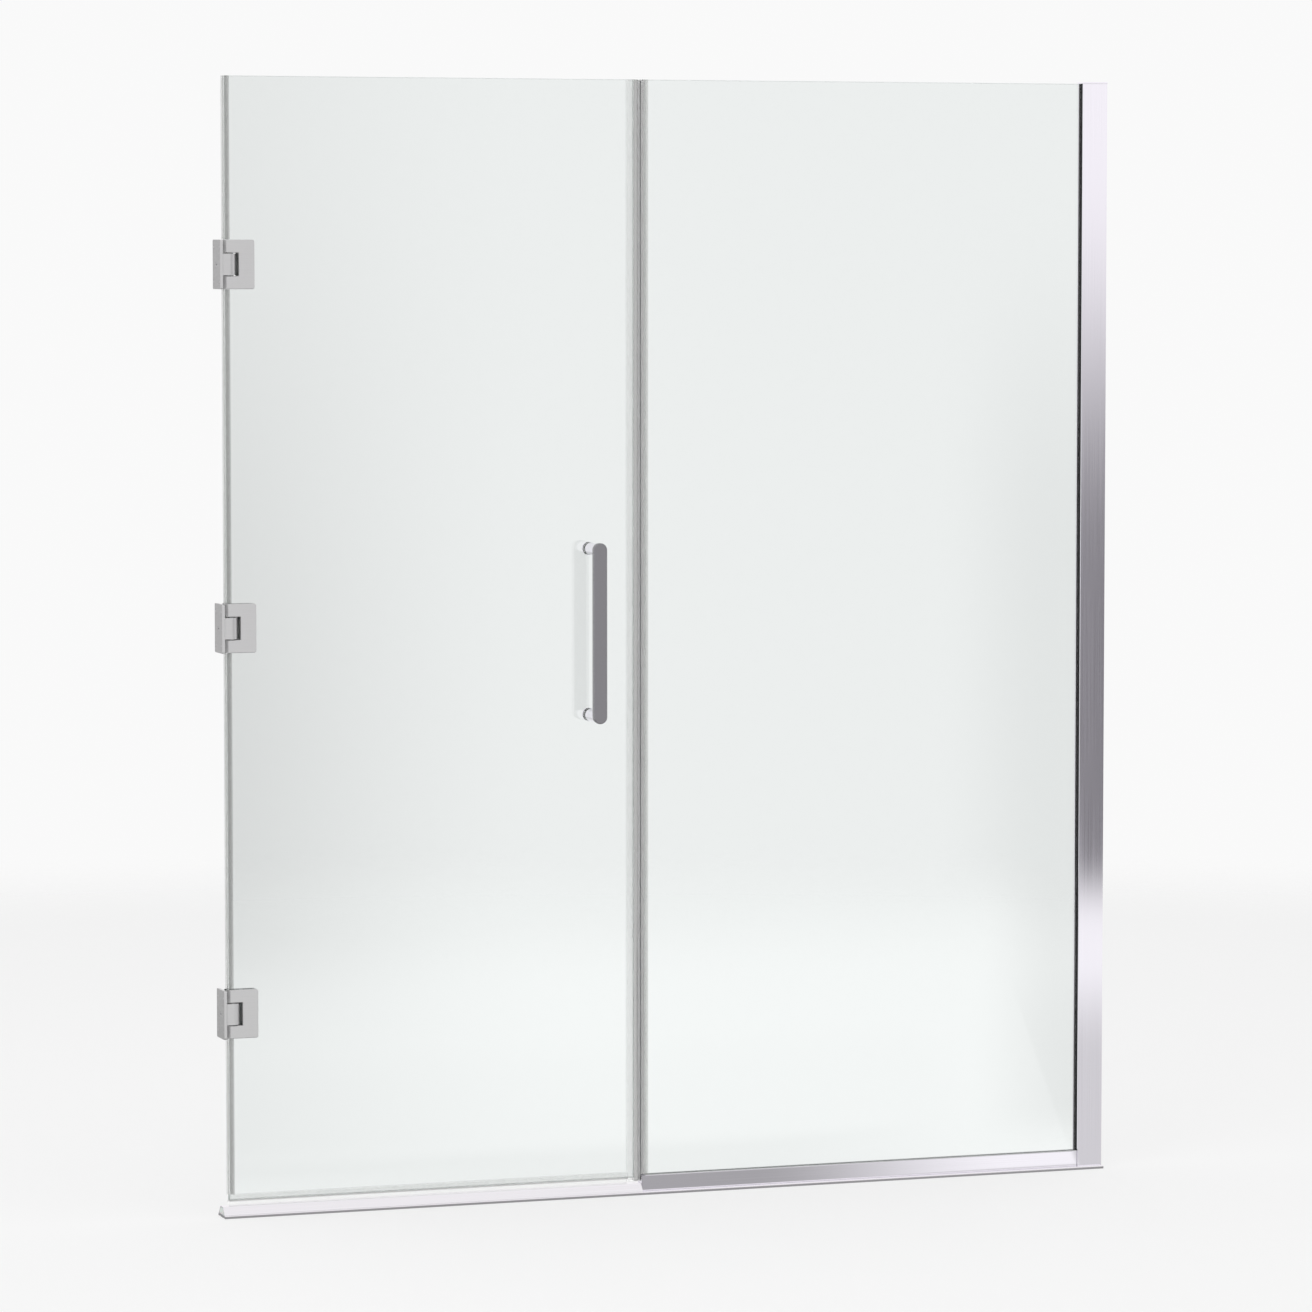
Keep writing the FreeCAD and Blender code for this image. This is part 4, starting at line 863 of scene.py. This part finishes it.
def floor_material():
    """A pale floor that is lifted to the background where it is seen and fades out towards its rim; through
    the glass it shows painted shade and light, and to bright metal it shows a painted reflection.
    """
    stand = studio()
    material = bpy.data.materials.new("pale_floor")
    tree = ShaderTree(material)
    tree.nodes.clear()
    output = tree.add("ShaderNodeOutputMaterial")
    ray = tree.add("ShaderNodeLightPath").outputs
    through = ray["Is Transmission Ray"]

    matt = tree.add("ShaderNodeBsdfDiffuse")
    tree.feed(matt.inputs["Color"], stand.floor_colour)
    # painted shade and light on the floor seen through the glass
    change = tree.combine("SUBTRACT", floor_painted_behind_glass(tree), stand.background)
    strength = tree.combine("ADD", stand.background, tree.product(through, change))
    white = tree.glow("ShaderNodeEmission", WHITE, strength)
    seen = tree.product(ray["Is Camera Ray"], stand.floor_lift)
    lift = tree.combine("MAXIMUM", seen, tree.product(through, stand.floor_shine))
    lifted = tree.mix(lift, matt.outputs[0], white)
    # painted reflection: bright metal mirrors painted tones instead of the lit floor
    mirrored = tree.combine("SUBTRACT", ray["Is Glossy Ray"], through)
    mirrored = tree.combine("MAXIMUM", mirrored, 0.0)
    pale = tree.mix(mirrored, lifted, painted_floor_reflection(tree))

    place = tree.add("ShaderNodeTexCoord")
    reach = tree.add("ShaderNodeVectorMath", operation="LENGTH")
    tree.feed(reach.inputs[0], place.outputs["Object"])
    fade = tree.spread(reach.outputs["Value"], stand.floor_fade, stand.floor_radius, 0.0, 1.0)
    clear = tree.add("ShaderNodeBsdfTransparent")
    tree.feed(output.inputs["Surface"], tree.mix(fade, pale, clear.outputs[0]))
    return material


def studio_floor():
    """A round pale floor under the sill."""
    mesh = bpy.data.meshes.new("studio_floor")
    shape = bmesh.new()
    bmesh.ops.create_circle(shape, cap_ends=True, segments=FLOOR_SEGMENTS, radius=studio().floor_radius)
    shape.to_mesh(mesh)
    shape.free()
    mesh.materials.append(floor_material())
    floor = bpy.data.objects.new("studio_floor", mesh)
    floor.location = (0.0, 0.0, -FLOOR_DROP)
    bpy.context.scene.collection.objects.link(floor)


def studio_world():
    """White behind the object, with painted shade behind the glass's hinge side; bright metal mirrors a
    painted dark band too.
    """
    stand = studio()
    world = bpy.data.worlds.new("studio")
    tree = ShaderTree(world)
    tree.nodes.clear()
    output = tree.add("ShaderNodeOutputWorld")
    ray = tree.add("ShaderNodeLightPath").outputs
    place = tree.split("Generated")

    # painted shade: the world seen through the glass is dimmer behind its hinge side
    beyond = tree.combine("ARCTAN2", place["X"], place["Y"])
    weight = tree.product(tree.spread(place["Z"], *SKY_WEIGHT), ray["Is Transmission Ray"])
    shade = tree.dimmed(beyond, radians(*SKY_BAND), weight, stand.hinge_side_painted_shade)
    behind = tree.glow("ShaderNodeBackground", WHITE, tree.product(shade, stand.background))

    # painted reflection: a dark band that only glossy rays see
    bearing = tree.combine("ARCTAN2", place["X"], tree.product(place["Y"], -1.0))
    low = tree.spread(place["Z"], *PAINTED_DARK_HEIGHT)
    dark = tree.product(low, tree.inside(bearing, radians(*PAINTED_DARK_BAND)))
    tone = tree.blend(dark, stand.sky_light, stand.painted_reflection_dark)
    mirrored = tree.glow("ShaderNodeBackground", tone, 1.0)

    even = tree.glow("ShaderNodeBackground", WHITE, stand.ambient)
    unseen = tree.mix(ray["Is Glossy Ray"], even, mirrored)
    seen = tree.combine("MAXIMUM", ray["Is Camera Ray"], ray["Is Transmission Ray"])
    tree.feed(output.inputs["Surface"], tree.mix(seen, unseen, behind))
    bpy.context.scene.world = world


def soft_light(name, power, size, place, target):
    """A rectangular lamp that looks at a target and isn't seen itself."""
    lamp = bpy.data.lights.new(name, "AREA")
    lamp.shape = "RECTANGLE"
    lamp.size, lamp.size_y = size
    lamp.energy = power
    light = bpy.data.objects.new(name, lamp)
    light.location = place
    light.rotation_euler = (Vector(target) - Vector(place)).to_track_quat("-Z", "Y").to_euler()
    light.visible_camera = False
    light.visible_glossy = False
    bpy.context.scene.collection.objects.link(light)


def studio_camera():
    """The camera, level apart from its dip."""
    stand = studio()
    lens = bpy.data.cameras.new("camera")
    lens.sensor_width = 36.0
    lens.lens = stand.camera_lens
    lens.clip_end = 100.0
    camera = bpy.data.objects.new("camera", lens)
    camera.location = stand.camera_place
    camera.rotation_euler = (math.radians(90) - stand.camera_dip, 0.0, -stand.camera_turn)
    bpy.context.scene.collection.objects.link(camera)
    bpy.context.scene.camera = camera


class SHOWER_OT_studio(ShowerStep):
    """Set up the pale floor, the soft light and the camera"""

    bl_idname = "shower.studio"
    bl_label = "Studio"

    def execute(self, context):
        studio_floor()
        studio_world()
        soft_light("top_light", studio().top_light, size=(5.0, 4.0), place=(0.0, -0.5, 4.6),
                   target=(0.0, 0.0, 0.0))
        soft_light("key_light", studio().key_light, size=(3.0, 3.0), place=(-3.6, -3.2, 3.2),
                   target=(0.0, 0.0, 0.9))
        studio_camera()
        context.scene.view_settings.view_transform = "Standard"
        return {"FINISHED"}


STEPS = (SHOWER_OT_glass, SHOWER_OT_hinges, SHOWER_OT_wall_screws, SHOWER_OT_pull, SHOWER_OT_profiles,
         SHOWER_OT_seals, SHOWER_OT_studio)


class SHOWER_PT_door(bpy.types.Panel):
    """Steps and settings of the hinged shower door"""

    bl_label = "Hinged shower door"
    bl_idname = "SHOWER_PT_door"
    bl_space_type = "VIEW_3D"
    bl_region_type = "UI"
    bl_category = "Shower door"

    def draw(self, context):
        for step in STEPS:
            self.layout.operator(step.bl_idname)
        for settings in (finishes(), sizes(), studio()):
            for name in settings.__annotations__:
                self.layout.prop(settings, name)


GROUPS = {
    "shower_door_finishes": ShowerDoorFinishes,
    "shower_door_sizes": ShowerDoorSizes,
    "shower_door_studio": ShowerDoorStudio,
}


def register():
    for kind in (*GROUPS.values(), *STEPS, SHOWER_PT_door):
        bpy.utils.register_class(kind)
    for name, group in GROUPS.items():
        setattr(bpy.types.Scene, name, PointerProperty(type=group))


def unregister():
    for name in GROUPS:
        delattr(bpy.types.Scene, name)
    for kind in reversed((*GROUPS.values(), *STEPS, SHOWER_PT_door)):
        bpy.utils.unregister_class(kind)


def main():
    register()
    bpy.ops.shower.glass()
    bpy.ops.shower.hinges()
    bpy.ops.shower.wall_screws()
    bpy.ops.shower.pull()
    bpy.ops.shower.profiles()
    bpy.ops.shower.seals()
    bpy.ops.shower.studio()


if __name__ == "__main__":
    main()
